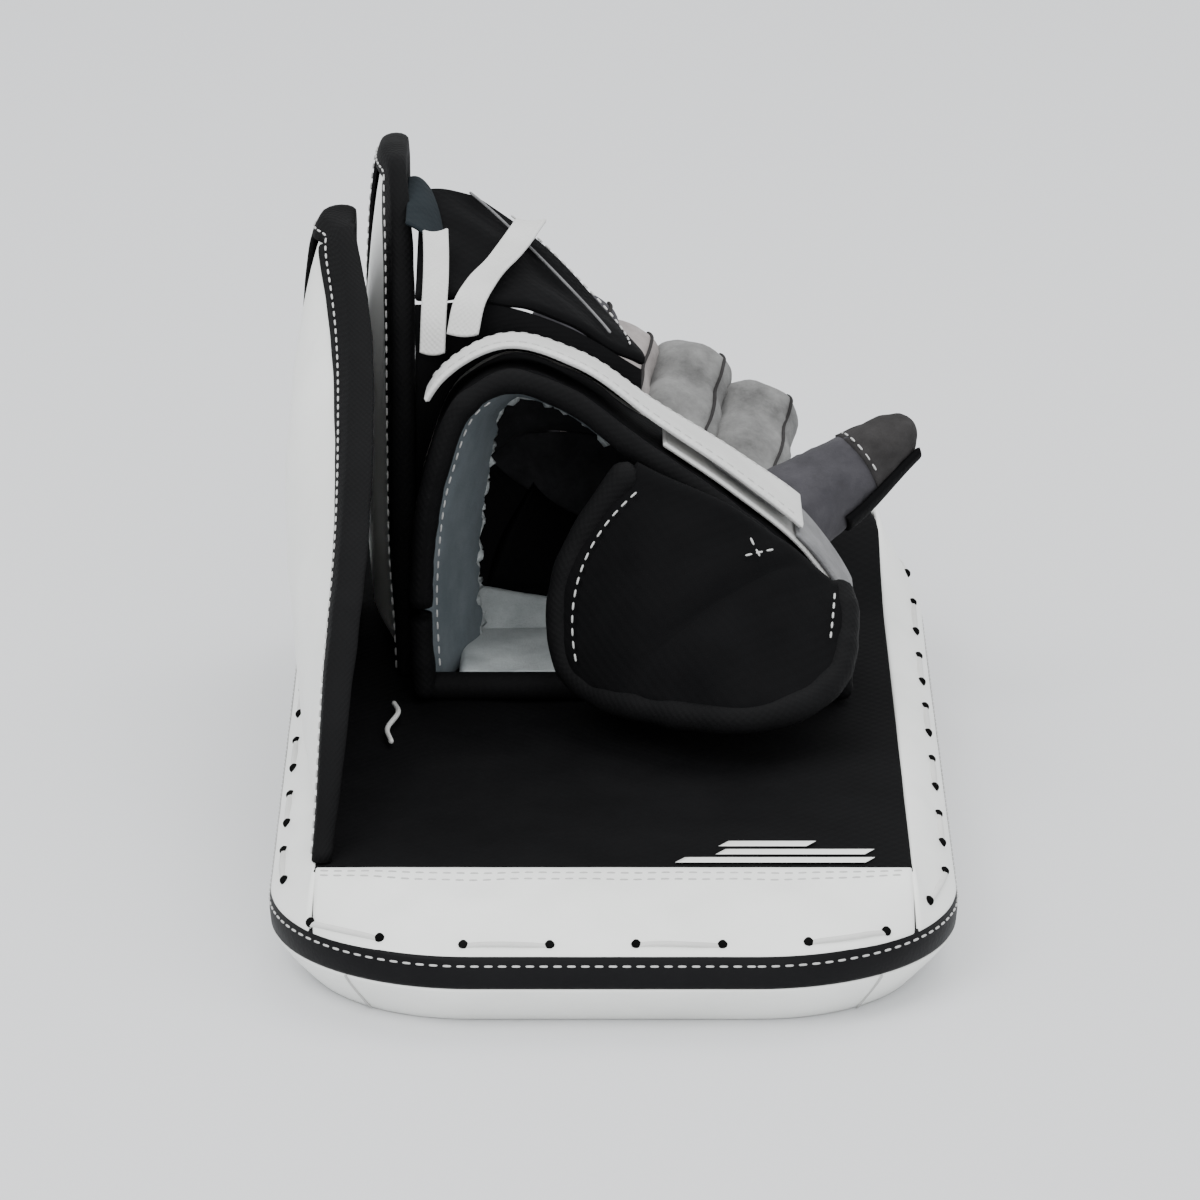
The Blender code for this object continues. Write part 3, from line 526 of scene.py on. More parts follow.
PINK_SUEDE = finish("warm grey suede", "nap", (0.36, 0.33, 0.32), (0.18, 0.165, 0.16),
                    0.95, 0.5, 0.0005, 0.1, shine=0.1)
THUMB = finish("lavender grey suede", "nap", (0.07, 0.068, 0.076), (0.035, 0.034, 0.039),
               0.92, 0.5, 0.0005, 0.05, shine=0.1)
THUMB_TIP = finish("dark thumb suede", "nap", (0.045, 0.043, 0.043), (0.018, 0.017, 0.017),
                   0.92, 0.5, 0.0005, shine=0.1)
WEBBING = finish("white webbing", "weave", (0.70, 0.70, 0.685), (0.60, 0.60, 0.585),
                 0.62, 0.45, settings=(("Threads", 3600.0),))
LOOP = finish("grey loop tape", "nap", (0.26, 0.26, 0.265), (0.15, 0.15, 0.155),
              0.95, 0.8, 0.0008, 0.05, shine=0.1)
THREAD = finish("white thread", "weave", (0.55, 0.55, 0.54), (0.45, 0.45, 0.44),
                0.6, 0.3, settings=(("Threads", 9000.0),))
LACE = finish("white lace", "weave", (0.72, 0.72, 0.70), (0.60, 0.60, 0.58),
              0.6, 0.4, settings=(("Threads", 5200.0),))


# ---------------------------------------------------------------- the board

def outline(inset, height):
    """The board's rounded rectangle, anticlockwise from above, with points on its straights too."""
    near, far = -BOARD_LENGTH / 2, BOARD_LENGTH / 2
    half_width = BOARD_WIDTH / 2
    radius = BOARD_CORNER - inset
    points = []
    for turn, (sign, y) in enumerate(((1, near), (1, far), (-1, far), (-1, near))):
        middle_x = sign * (half_width - inset - radius)
        middle_y = y + (inset + radius) * (1 if turn in (0, 3) else -1)
        angle = np.radians(-90.0 + 90.0 * turn + 90.0 * np.arange(CORNER_STEPS + 1) / CORNER_STEPS)
        points.append(np.stack((middle_x + radius * np.cos(angle), middle_y + radius * np.sin(angle),
                                np.full(angle.shape, height)), axis=1))
    dense = []
    for first, second in zip(points, points[1:] + points[:1]):
        steps = 40 if abs(first[-1][1] - second[0][1]) > 100 else 14
        dense.append(first)
        dense.append(first[-1] + (second[0] - first[-1]) * (np.arange(1, steps) / steps)[:, None])
    return np.concatenate(dense)


def edge_y(x, end, inset=0.0):
    """Y of the board's outline at x, on its near (-1) or far (1) end."""
    radius = BOARD_CORNER - inset
    over = np.clip(np.abs(x) - (BOARD_WIDTH / 2 - BOARD_CORNER), 0.0, radius - 0.01)
    return end * (BOARD_LENGTH / 2 - BOARD_CORNER + np.sqrt(radius ** 2 - over ** 2))


def side_edge(share, inset, half=BACK_HALF_WIDTH + 0.3):
    """The board's outline along one side: near corner arc, straight, far corner arc."""
    centre = BOARD_WIDTH / 2 - BOARD_CORNER
    radius = BOARD_CORNER - inset
    start = math.acos((half - centre) / radius)
    arc = radius * start
    straight = BOARD_LENGTH - 2 * BOARD_CORNER
    distance = share * (2 * arc + straight)
    near = np.clip(distance, 0.0, arc)
    run = np.clip(distance - arc, 0.0, straight)
    far = np.clip(distance - arc - straight, 0.0, arc)
    angle = start - near / radius + far / radius
    sign = np.where(distance < arc + straight / 2, -1.0, 1.0)
    return centre + radius * np.cos(angle), -straight / 2 + run + sign * radius * np.sin(angle)


def rise(y):
    """How far the padding under the nylon lifts it towards the finger end."""
    return BACK_LIFT * ease((y - LIFT_START) / LIFT_RUN)


def puffed(x, y, v, seed):
    """A white rim panel's height: a slope with a crown, soft wrinkles, and puckers at the lace."""
    z = blend(BAND_TOP, BACK_HEIGHT + 0.4, v) + PANEL_CROWN * np.sin(math.pi * v) ** 0.8
    z = z + rise(y) * v ** 0.7
    points = np.stack((x, y, z), axis=1)
    pucker = np.cos(2 * math.pi * (x + y) / LACE_PITCH) * np.exp(-((v - 0.16) / 0.16) ** 2)
    wrinkle = 0.6 * ripple(points * (1.0, 1.0, 0.2), 26.0, seed) + 0.35 * pucker
    points[:, 2] += wrinkle * np.sin(math.pi * v)
    return points - np.array((0.0, 0.0, 1.0))


def end_panel(end):
    """The white panel at one end: u along X, v up to the nylon."""
    inner_y = BACK_NEAR if end < 0 else BACK_FAR
    half = BACK_HALF_WIDTH - 0.3

    def face(u, v):
        x = blend(-half, half, u)
        y = blend(edge_y(x, end, 0.6), inner_y - end, v)
        return puffed(x, y, v, 3 + end)
    return face


def side_strip(sign):
    """The white strip along one side: u from the wrist end to the finger end."""
    def face(u, v):
        x, y = side_edge(u, 0.6)
        inner_y = blend(BACK_NEAR, BACK_FAR, u)
        return puffed(sign * blend(x, BACK_HALF_WIDTH - 0.6, v), blend(y, inner_y, v), v, 7 + sign)
    return face


def face_cover():
    """The white front: a flat face, a bevel that puffs a little, and folded corners."""
    profile = ((13.2, 0.0), (12.3, 0.15), (11.6, 0.6), (10.0, 2.3), (7.6, 5.0), (5.0, 7.9), (2.7, 10.6),
               (1.0, 12.8), (0.4, 13.7), (1.2, 14.1), (3.0, 14.1))
    loops = []
    for inset, height in profile:
        loop = outline(inset, height)
        bulge = math.sin(math.pi * min(max(height / 14.0, 0.0), 1.0))
        out = unit(loop * (1.0, 1.0, 0.0)) * (0.5 * bulge + 0.45 * bulge * ripple(loop, 34.0, 5))[:, None]
        loops.append(loop + out)
    belongs(loft("front_cover_skin", loops, LEATHER), "board", "white_leather", "face_cover", "board_core")
    line = outline(0.0, 0.0)
    # Each corner fold is a thin ridge in mid grey: painted shade in the crease of the white leather.
    for index, spot in enumerate((10, 78, 112, 180)):
        path = [outline(inset, height)[spot] for inset, height in profile[2:9]]
        path = np.array(path) + unit(line[spot] * (1, 1, 0)) * 0.42
        belongs(rope("front_corner_fold_%d" % index, path, 0.38, FOLD_PAINTED_SHADE, 6), "board", "white_leather")


def edge_band():
    """The black leather band with its row of white stitches."""
    profile = ((0.5, 14.0), (0.0, 14.8), (-0.35, 18.5), (-0.3, 20.5), (0.1, 22.8), (0.7, 23.8), (2.6, 23.9),
               (3.0, 14.0))
    loops = [outline(inset, height) for inset, height in profile]
    belongs(loft("edge_band_skin", loops, BAND, ring=True), "board", "black_band", "edge_band")
    row = outline(-0.30, 21.3)
    belongs(stitches("edge_band_stitches", row, THREAD, closed=True), "board", "white_lace")


def rim_path(up):
    """A closed path on the white rim panels, up millimetres from their lower edge."""
    pieces = []
    for face, shares, width, flip in ((end_panel(-1), np.linspace(0.0, 1.0, 60), WRIST_PANEL_RUN, 1),
                                      (side_strip(1), np.linspace(0.0, 1.0, 130), STRIP_RUN, 1),
                                      (end_panel(1), np.linspace(1.0, 0.0, 60), FINGER_PANEL_RUN, -1),
                                      (side_strip(-1), np.linspace(1.0, 0.0, 130), STRIP_RUN, -1)):
        v = np.full(shares.shape, up / width)
        pieces.append(shifted(face, shares, v, np.full(shares.shape, float(flip))))
    return np.concatenate(pieces)


def rim_lacing():
    """The rim lace: it dips into a hole, comes out of the next, and so on round the board."""
    path = resample(rim_path(LACE_UP), 0.5, True)
    pitch = int(2 * LACE_PITCH)
    holes = np.arange(0, len(path) - pitch // 2, pitch)
    drawn = []
    for number, start in enumerate(holes):
        stretch = path[start:start + pitch]
        if number % 2 == 0 and len(stretch) == pitch:
            s = np.linspace(0.0, 1.0, pitch)
            lift = 1.25 * np.sin(math.pi * s) ** 0.35 - 1.0
            drawn.append((stretch + np.array((0, 0, 1.0)) * lift[:, None])[::3])
    laces = [rope("rim_lace_%02d" % i, points, 1.15, LACE, 8, 0.7) for i, points in enumerate(drawn)]
    join(laces, "rim_lace_runs")
    belongs(laces[0], "board", "white_lace", "rim_lace")
    # Each hole is a small near-black disc on the white rim: painted shade where the lace goes in.
    dents = [rope("hole_%02d" % i, [spot - (0, 0, 0.5), spot + (0, 0, 0.15)], 1.5, LACE_HOLE_PAINTED_SHADE, 10)
             for i, spot in enumerate(path[holes])]
    join(dents, "rim_lace_holes")
    belongs(dents[0], "board", "black_nylon")


def join(pieces, name):
    """Joins pieces into the first one, renamed."""
    points, faces, start = [], [], 0
    for piece in pieces:
        mesh = piece.data
        co = np.empty(len(mesh.vertices) * 3)
        mesh.vertices.foreach_get("co", co)
        points.append(co.reshape(-1, 3))
        faces.extend([[start + i for i in polygon.vertices] for polygon in mesh.polygons])
        start += len(mesh.vertices)
    made = bpy.data.meshes.new(name)
    made.from_pydata(np.concatenate(points).tolist(), [], faces)
    made.shade_smooth()
    made.materials.append(pieces[0].data.materials[0])
    pieces[0].data = made
    pieces[0].name = name
    for piece in pieces[1:]:
        bpy.data.objects.remove(piece, do_unlink=True)
    return pieces[0]


def nylon_back():
    """The black nylon back: z is the board's height, a small ripple and the lift at the finger end."""
    def face(u, v):
        half = BACK_HALF_WIDTH + 0.6 - 3.0 * ease((v - 0.93) / 0.07)
        x = blend(-half, half, u)
        y = blend(BACK_NEAR - 1.5, BACK_FAR + 0.2, v)
        points = np.stack((x, y, np.full(u.shape, BACK_HEIGHT - 0.7)), axis=1)
        inside = np.minimum(1.0, 12.0 * np.minimum(np.minimum(u, 1 - u), np.minimum(v, 1 - v)))
        points[:, 2] += 0.45 * ripple(points, 38.0, 11) * inside - 0.2 + rise(points[:, 1])
        return points
    back = pad("nylon_back", face, 1.2, NYLON, (70, 110), 1.0)
    belongs(cloth(back, "laid", "board_core"), "board", "black_nylon", "back_panel", "backing_foam")
    for index, (x, y, long) in enumerate(((46.0, -145.5, 56.0), (52.0, -138.5, 44.0), (44.0, -131.5, 26.0))):
        def bar(u, v, x=x, y=y, long=long):
            across = blend(-long / 2, long / 2, u)
            height = np.full(u.shape, BACK_HEIGHT + 0.25)
            return np.stack((x + across + 3.0 * v, y + 4.5 * v, height), axis=1)
        belongs(pad("back_bar_%d" % index, bar, 0.3, LEATHER, (16, 8), 0.3), "board", "white_leather")


def make_board():
    """Everything of the board, from the front up to the nylon."""
    face_cover()
    edge_band()
    for name, face, count in (
            ("wrist_panel", end_panel(-1), 90), ("finger_end_panel", end_panel(1), 90),
            ("side_strip_left", side_strip(-1), 160), ("side_strip_right", side_strip(1), 160)):
        belongs(pad(name + "_skin", face, 2.0, LEATHER, (count, 22), 1.4), "board", "white_leather", name)
    nylon_back()
    rim_lacing()
    for index, up in enumerate((33.6, 37.4)):
        u = np.linspace(0.01, 0.99, 60)
        row = shifted(end_panel(-1), u, np.full(60, up / WRIST_PANEL_RUN), np.full(60, 1.0))
        belongs(stitches("wrist_panel_stitches_%d" % index, row, THREAD), "board", "white_lace")


# ---------------------------------------------------------------- the side wings

WING_EDGE = 0.36
WRIST_WING = {
    "near": ((-149, 0.0), (-130, 0.17), (-88, 0.42), (-35, 0.62), (18, 0.79), (60, 0.94), (86, 1.0)),
    "far": ((104, 0.0), (107, 0.5), (108, 0.88), (104, 0.97), (98, 1.0)),
    "near_x": (-84.5, -79.5, -75.8, -75.2, -77.0, -85.0),
    "far_x": -83.5, "top": 170.0, "thickness": 12.0, "crown": 10.5,
}
FINGER_WING = {
    "near": ((25, 0.0), (45, 0.36), (60, 0.64), (74, 0.76), (88, 0.86), (98, 0.95), (108, 1.0)),
    "far": ((161, 0.0), (163, 0.5), (161, 0.8), (154, 0.94), (142, 1.0)),
    "near_x": (-64.0, -64.0, -64.0, -64.0, -65.0, -68.0),
    "far_x": -67.5, "top": 183.0, "thickness": 10.5, "crown": 3.5,
}


def wing_point(wing, u, v, share, out=0.0):
    """A wing's points: u wrist edge to finger edge, v up, share 0 inside to 1 outside."""
    scale = np.array((1.0, wing["top"] - FLOOR))
    near = along(np.array(wing["near"]) * scale, v)
    far = along(np.array(wing["far"]) * scale, v)
    yz = blend(near, far, u[:, None])
    heights = np.linspace(0.0, 100.0, len(wing["near_x"]))
    near_x = along(np.stack((heights, wing["near_x"]), axis=1), v)[:, 1]
    inner = blend(near_x, wing["far_x"], ease(2.0 * u))
    crown = wing["crown"] * np.sin(math.pi * np.clip(u, 0, 1)) * np.sin(math.pi * (0.05 + 0.9 * v))
    taper = blend(WING_EDGE, 1.0, ease(2.0 * u)) * (1.0 - 0.55 * np.clip(v, 0, 1) ** 5)
    outer = inner - wing["thickness"] * taper - crown + 2.0 * (1.0 - ease(4.0 * v))
    return np.stack((blend(inner, outer, share) - out, yz[:, 0], yz[:, 1] + FLOOR), axis=1)


def make_wing(prefix, wing, seed):
    """A wing: a puffed white cover, a black lining, the folded binding and its stitches."""
    def cover(u, v):
        corner = 0.08 * (1.0 - np.sin(math.pi * u)) ** 4 * v ** 4
        points = wing_point(wing, 0.03 + 0.94 * u, 0.015 + 0.925 * v - corner, 0.62)
        wave = ripple(points, 46.0, seed) * np.sin(math.pi * u) * np.sin(math.pi * np.minimum(v + 0.1, 1.0))
        return points - np.stack((1.0 * wave, 0 * wave, 0 * wave), axis=1)

    def lining(u, v):
        corner = 0.08 * (1.0 - np.sin(math.pi * u)) ** 4 * v ** 4
        points = wing_point(wing, 0.03 + 0.94 * u, 0.015 + 0.925 * v - corner, 0.12)
        wave = ripple(points, 30.0, seed + 1)
        return points + np.stack((0.5 * wave, 0 * wave, 0 * wave), axis=1)

    def depth(u, v):
        taper = blend(WING_EDGE, 1.0, ease(2.0 * (1 - u))) * (1.0 - 0.6 * v ** 5)
        return wing["thickness"] * 0.72 * taper
    skin = pad(prefix + "_cover_skin", lambda u, v: cover(1 - u, v), depth, LEATHER, (80, 70), 3.0)
    settle(skin, 12.0, 3.0, 2.5)
    belongs(skin, prefix, "white_leather", prefix + "_cover", prefix + "_foam")
    inside = pad(prefix + "_lining_skin", lining, wing["thickness"] * 0.24, NYLON, (60, 60), 1.5)
    belongs(cloth(inside, "stretched", skin), prefix, "black_nylon", prefix + "_lining")
    wing_binding(prefix, wing, seed)


def wing_binding(prefix, wing, seed):
    """The black tape folded over the wing's free edge, and its stitches on the outer face."""
    count = 70
    climb = np.linspace(0.0, 0.93, count)
    cross = np.linspace(0.03, 0.97, 14)
    u = np.concatenate((np.full(count, 0.02), cross, np.full(count, 0.98)))
    v = np.concatenate((climb, np.full(14, 0.985), climb[::-1]))
    near = along(wing["near"], v)[:, 0]
    far = along(wing["far"], v)[:, 0]
    inward = np.minimum(10.0 / (far - near), 0.3)
    du = inward * np.repeat((1.0, 1.0, 0.0, -1.0, -1.0), (count, 1, 12, 1, count))
    dv = 8.0 / (wing["top"] - FLOOR) * np.repeat((0.0, -1.0, 0.0), (count, 14, count))
    edge = [softened(wing_point(wing, u, v, share), 5) for share in (0.0, 1.0)]
    lips = [softened(wing_point(wing, u + du, v + dv, share), 5) for share in (0.0, 1.0)]
    out = unit(edge[0] + edge[1] - lips[0] - lips[1])
    across = unit(edge[1] - edge[0])
    profile = []
    for lip_share, away in ((0.0, 1.1), (0.35, 1.6), (0.75, 1.8)):
        profile.append(blend(lips[0], edge[0], lip_share) - across * away)
    for angle in np.linspace(-math.pi / 2, math.pi / 2, 9):
        middle = (edge[0] + edge[1]) / 2
        half = np.linalg.norm(edge[1] - edge[0], axis=1)[:, None] / 2 + 1.8
        profile.append(middle + across * half * math.sin(angle) + out * 2.6 * math.cos(angle))
    for lip_share, away in ((0.75, 1.8), (0.35, 1.6), (0.0, 1.1)):
        profile.append(blend(lips[1], edge[1], lip_share) + across * away)
    for lip_share, away in ((0.0, 0.2), (0.9, 0.2)):
        profile.append(blend(lips[1], edge[1], lip_share) + across * away)
    for lip_share, away in ((0.9, 0.2), (0.0, 0.2)):
        profile.append(blend(lips[0], edge[0], lip_share) - across * away)
    loops = np.stack(profile, axis=1)
    loops += (unit(loops - loops.mean(axis=1, keepdims=True))
              * 0.18 * ripple(loops, 18.0, seed + 3)[..., None])
    tape = loft(prefix + "_binding_tape", loops[:, ::-1], TAPE)
    belongs(tape, prefix, "black_binding", prefix + "_binding")
    row = blend(lips[1], edge[1], 0.45) + across * 1.9
    belongs(stitches(prefix + "_binding_stitches", row, THREAD), prefix, "white_lace")
    along_foot = np.linspace(0.03, 0.97, 60)
    foot = wing_point(wing, along_foot, np.full(60, 0.012), 0.35)
    wide = 2.6 + 0.2 * ripple(foot, 15.0, seed + 4)
    belongs(rope(prefix + "_foot_tape", foot, wide, TAPE, 12), prefix, "black_binding")


# ---------------------------------------------------------------- the cuff

def arch_section(share):
    """The cuff's arch in X and Z, from the left foot over the top to the right foot."""
    shape = ((0.0, 0.0), (-0.007, 0.36), (0.03, 0.70), (0.11, 0.93), (0.21, 1.0), (0.35, 0.95),
             (0.51, 0.80), (0.715, 0.61), (0.89, 0.41), (0.985, 0.20), (1.0, 0.0))
    return along(np.array(shape) * (137.0, 143.5 - FLOOR) + (-62.0, FLOOR), share)


def arch(u, v):
    """The cuff's outer surface: u along the arch, v from the mouth back."""
    section = arch_section(u)
    fall = 8.0 * v * np.sin(math.pi * np.clip(u / 0.8, 0.0, 1.0))
    return np.stack((section[:, 0], blend(CUFF_MOUTH, CUFF_BACK, v), section[:, 1] - fall), axis=1)


def make_cuff():
    """The cuff: black shell, brushed lining with a ragged inner end, felt floor, bound mouth."""
    def shell(u, v):
        base = shifted(arch, 0.004 + 0.992 * u, v, np.full(u.shape, -1.5))
        return base + 0.5 * ripple(base, 22.0, 21)[:, None] * np.array((0.0, 0.0, 1.0))

    def lining(u, v):
        ragged = 1.0 + 0.05 * ripple(np.stack((u * 220, u * 90, u * 50), axis=1), 9.0, 23)
        v = v * 0.94 * ragged
        deep = 4.8 + v * blend(16.0, 7.0, ease((u - 0.2) / 0.3))
        return shifted(arch, 0.004 + 0.992 * u, np.clip(v, 0.0, 1.05), -deep)

    def floor(u, v):
        within = 0.06 + 0.88 * u
        back = shifted(back_side, within, 0.35 * np.clip(2 * v - 1, 0, 1), np.full(u.shape, 5.0))
        front = np.stack((blend(-55.5, 68.5, within), blend(CUFF_MOUTH + 1.0, HAND_NEAR, 2 * v),
                          np.full(u.shape, FLOOR + 4.6)), axis=1)
        points = np.where((v < 0.5)[:, None], front, back)
        points[:, 2] += 0.6 * ripple(points, 16.0, 24)
        return points
    outer = pad("cuff_shell_skin", shell, 3.0, NYLON, (150, 30), 1.5)
    belongs(cloth(outer, "stretched", "board_core"), "board", "black_nylon", "cuff_shell")
    brushed = pad("cuff_lining_felt", lining, 3.2, LINING, (150, 36), 1.6)
    belongs(cloth(brushed, "stretched", outer), "board", "grey_lining", "cuff_lining")
    felt = pad("cuff_floor_felt", floor, 6.5, FELT, (70, 60), 2.5)
    belongs(felt, "board", "grey_lining", "cuff_floor")
    sill = np.stack((np.linspace(-56.0, 69.0, 60), np.full(60, CUFF_MOUTH - 0.5),
                     np.full(60, FLOOR + 3.9)), axis=1)
    belongs(rope("cuff_floor_binding", sill, 4.3, TAPE, 14), "board", "black_binding")
    ragged = lining(np.linspace(0.02, 0.75, 130), np.full(130, 1.0))
    ragged += 1.3 * np.stack([ripple(ragged, 6.0, seed) for seed in (91, 92, 93)], axis=1)
    fringe = rope("cuff_lining_fringe", ragged, 1.5 + 0.6 * ripple(ragged, 4.0, 94), FELT, 8)
    belongs(fringe, "board", "grey_lining")
    shares = np.linspace(0.012, 0.988, 110)
    middle = shifted(arch, shares, np.zeros(110), np.full(110, -3.4))
    middle[:, 1] = CUFF_MOUTH - 2.6
    wide = 3.7 + 0.25 * ripple(middle, 12.0, 26)
    belongs(rope("cuff_mouth_binding", middle, wide, TAPE, 16), "board", "black_binding", "cuff_binding")
    row = shifted(arch, np.linspace(0.03, 0.40, 90), np.full(90, 0.10), np.full(90, -8.3))
    belongs(stitches("cuff_lining_stitches", row, THREAD), "board", "white_lace")


# ---------------------------------------------------------------- the flap

FLAP_NET = (
    ((7.0, -3.5, 118.0), (30.0, -3.5, 103.5), (51.0, -3.5, 88.0), (67.0, -3.5, 71.0)),
    ((-14.0, -11.0, 78.0), (12.0, -24.0, 82.0), (44.0, -28.0, 72.0), (70.5, -17.0, 64.0)),
    ((-7.0, -25.0, 50.0), (15.0, -46.0, 48.5), (42.0, -58.0, 47.5), (67.0, -40.0, 52.0)),
)


def flap(u, v):
    """The flap's inner face: u left to right, v from the cuff down to the free edge."""
    rows = [along(row, u) for row in FLAP_NET]
    weights = ((2 * v - 1) * (v - 1), 4 * v * (1 - v), v * (2 * v - 1))
    return sum(row * weight[:, None] for row, weight in zip(rows, weights))


def flap_face(u, v):
    """The flap's middle surface with its diagonal fold, turned to face the wrist."""
    u = 1.0 - u
    base = shifted(flap, 0.01 + 0.98 * u, 0.005 + 0.985 * v, np.full(u.shape, -4.2))
    fold = np.exp(-((u - 0.62 + 0.55 * (v - 0.35)) / 0.055) ** 2) * ease(4 * v) * ease(3 * (1 - v))
    swell = 0.8 * ripple(base, 30.0, 31)
    return base + np.array((0.0, 0.75, -0.65)) * (2.2 * fold - swell)[:, None]


def make_flap():
    """The padded flap: black nylon between rolled bindings, with rows of stitches and a cross."""
    cover = pad("flap_pad", flap_face, 6.4, NYLON, (70, 70), 5.0, 1.4)
    settle(cover, 6.0, 4.0, 4.0)
    belongs(cover, "cuff_flap", "black_nylon", "flap_cover", "flap_foam", "flap_lining")
    count = 60
    down = np.linspace(0.055, 0.93, count)
    side_u = np.linspace(0.08, 0.92, count)
    u = np.concatenate((np.full(count, 0.01), side_u, np.full(count, 0.99)))
    v = np.concatenate((down, np.full(count, 0.985), down[::-1]))
    rim = shifted(flap, u, v, np.full(u.shape, -4.2))
    smooth = softened(rim, 14)
    wide = 4.7 + 0.3 * ripple(smooth, 13.0, 33)
    belongs(rope("flap_binding_tape", smooth, wide, TAPE, 16), "cuff_flap", "black_binding", "flap_binding")
    for index, (first, last, inset) in enumerate((((0.10, 0.86, 0.10)), ((0.30, 0.74, 0.91)))):
        v = np.linspace(first, last, 50)
        row = shifted(flap, np.full(50, inset), v, np.full(50, -9.6))
        belongs(stitches("flap_stitches_%d" % index, row, THREAD), "cuff_flap", "white_lace")
    for index, (du, dv) in enumerate(((0.045, 0.06), (-0.045, 0.06))):
        s = np.linspace(-1, 1, 12)
        row = shifted(flap, 0.60 + du * s, 0.22 + dv * s, np.full(12, -9.4))
        belongs(stitches("flap_cross_%d" % index, row, THREAD), "cuff_flap", "white_lace")


# ---------------------------------------------------------------- the straps

def strap_face(start, end, first, last, lift):
    """A strip over the arch, between shares of its length and of the cuff's depth."""
    low = 2.0 / 45.0
    width = 31.0 / 45.0

    def base(u, v):
        return arch(blend(start, end, u), low + width * blend(first, last, v))

    def face(u, v):
        return shifted(base, u, v, lift + 0.15 * ripple(base(u, v), 60.0, 41))
    return face


def make_straps():
    """The wrist strap, its hook patch, the strap beneath and the grey end tab."""
    top = pad("wrist_strap_web", strap_face(0.335, 0.80, 0.0, 1.0, 6.7), 2.0, WEBBING, (110, 24), 0.9)
    belongs(cloth(top, "laid", "cuff_shell_skin"), "strap", "white_webbing", "wrist_strap")
    hooks = pad("hook_patch", strap_face(0.68, 0.78, 0.12, 0.88, 5.0), 0.9, LOOP, (30, 20), 0.4)
    belongs(hooks, "strap", "grey_webbing", "strap_hook_patch")
    under = pad("under_strap_web", strap_face(0.62, 0.90, 0.03, 0.94, 1.8), 1.6, WEBBING, (70, 24), 0.8)
    belongs(cloth(under, "laid", "cuff_shell_skin"), "board", "white_webbing", "under_strap")
    tab = pad("strap_end_loop", strap_face(0.80, 0.905, 0.0, 1.0, 3.9), 2.0, LOOP, (40, 26), 1.0)
    belongs(cloth(tab, "laid", under), "board", "grey_webbing", "strap_end_tab")
    for index, depth in enumerate((0.08, 0.92)):
        u = np.linspace(0.03, 0.97, 90)
        row = strap_face(0.335, 0.80, 0.0, 1.0, 7.8)(u, np.full(90, depth))
        belongs(stitches("wrist_strap_stitches_%d" % index, row, THREAD), "strap", "white_lace")


# ---------------------------------------------------------------- the hand

def palm_section(angle):
    """The hand's oval at the knuckles: angle 0 at the thumb side, 90 on the palm side."""
    return (np.array((4.5, 0.0, 82.0)) + np.cos(angle)[:, None] * 48.0 * PALM_ACROSS
            + np.sin(angle)[:, None] * 14.0 * PALM_NORMAL)


def palm_side(u, v):
    """The palm side of the hand: u left foot to right, v from the cuff to past the knuckles."""
    near = arch(0.03 + 0.94 * u, np.ones(u.shape))
    far = palm_section(math.pi - 0.06 - (math.pi - 0.12) * u)
    points = blend(near, far, ease(v)[:, None])
    points[:, 1] = blend(HAND_NEAR, HAND_FAR, v)
    return points


def back_side(u, v):
    """The back of the hand: u left to right, v from the cuff on."""
    near = np.stack((blend(-57.7, 70.7, u), 0 * u, 0 * u + FLOOR + 0.1), axis=1)
    far = palm_section(math.pi + 0.06 + (math.pi - 0.12) * u)
    points = blend(near, far, ease(v)[:, None])
    points[:, 1] = blend(HAND_NEAR, HAND_FAR, v)
    return points


def make_hand():
    """The palm, the black back of the glove and the pad that lifts it off the board."""
    def palm(u, v):
        base = shifted(palm_side, u, v, np.full(u.shape, -0.6))
        wave = 0.6 * ripple(base, 19.0, 51) * ease(3 * v)
        return base + PALM_NORMAL * wave[:, None]

    def back(u, v):
        return shifted(back_side, u, v, np.full(u.shape, 1.3))

    def riser(u, v):
        top = shifted(back_side, 0.1 + 0.8 * u, 0.42 + 0.58 * v, np.full(u.shape, -1.0))
        top[:, 2] = (top[:, 2] + FLOOR) / 2
        return top

    def riser_depth(u, v):
        top = shifted(back_side, 0.1 + 0.8 * u, 0.42 + 0.58 * v, np.full(u.shape, -1.0))
        return top[:, 2] - FLOOR - 0.6
    suede = pad("palm_suede", palm, 2.4, PALE_SUEDE, (110, 50), 1.2)
    belongs(cloth(suede, "stretched", "hand_riser"), "board", "grey_suede", "palm_panel")
    under = pad("glove_back_cloth", back, 2.4, NYLON, (80, 40), 1.0)
    belongs(cloth(under, "stretched", "hand_riser"), "board", "black_nylon", "glove_back")

    def inner(u, v):
        return shifted(palm_side, 0.01 + 0.98 * u, 0.98 * v, np.full(u.shape, -3.1))

    def collar(u, v):
        return shifted(palm_side, 0.02 + 0.64 * u, 0.62 * v, np.full(u.shape, 2.3))

    def knuckles(u, v):
        depth = np.full(u.shape, 0.80)
        return blend(shifted(palm_side, u, depth, np.full(u.shape, -4.0)),
                     shifted(back_side, u, depth, np.full(u.shape, 3.0)), v[:, None])
    # The knuckle sheet closes the glove across the knuckles and the inner sheet lines the palm; both are
    # near black, painted shade inside the glove.
    for piece in (pad("knuckle_shade_sheet", knuckles, 1.0, INNER_PAINTED_SHADE, (60, 16), 0.5),
                  pad("palm_inner_shade_sheet", inner, 1.2, INNER_PAINTED_SHADE, (90, 40), 0.6),
                  pad("palm_collar", collar, 2.0, NYLON, (80, 30), 1.0)):
        belongs(cloth(piece, "stretched", suede), "board", "black_nylon")

    def gusset(u, v):
        bowed = 60.0 + 4.0 * np.sin(math.pi * u)
        return np.stack((blend(-66.5, -55.0, u), bowed, blend(37.5, 122.0, v)), axis=1)
    side = pad("side_gusset", gusset, 1.6, NYLON, (16, 50), 0.8)
    belongs(cloth(side, "hung", "cuff_shell_skin"), "board", "black_nylon")
    riser_pad = pad("hand_riser", riser, riser_depth, NYLON, (50, 40), 4.0)
    belongs(riser_pad, "board", "black_nylon", "hand_back_pad")


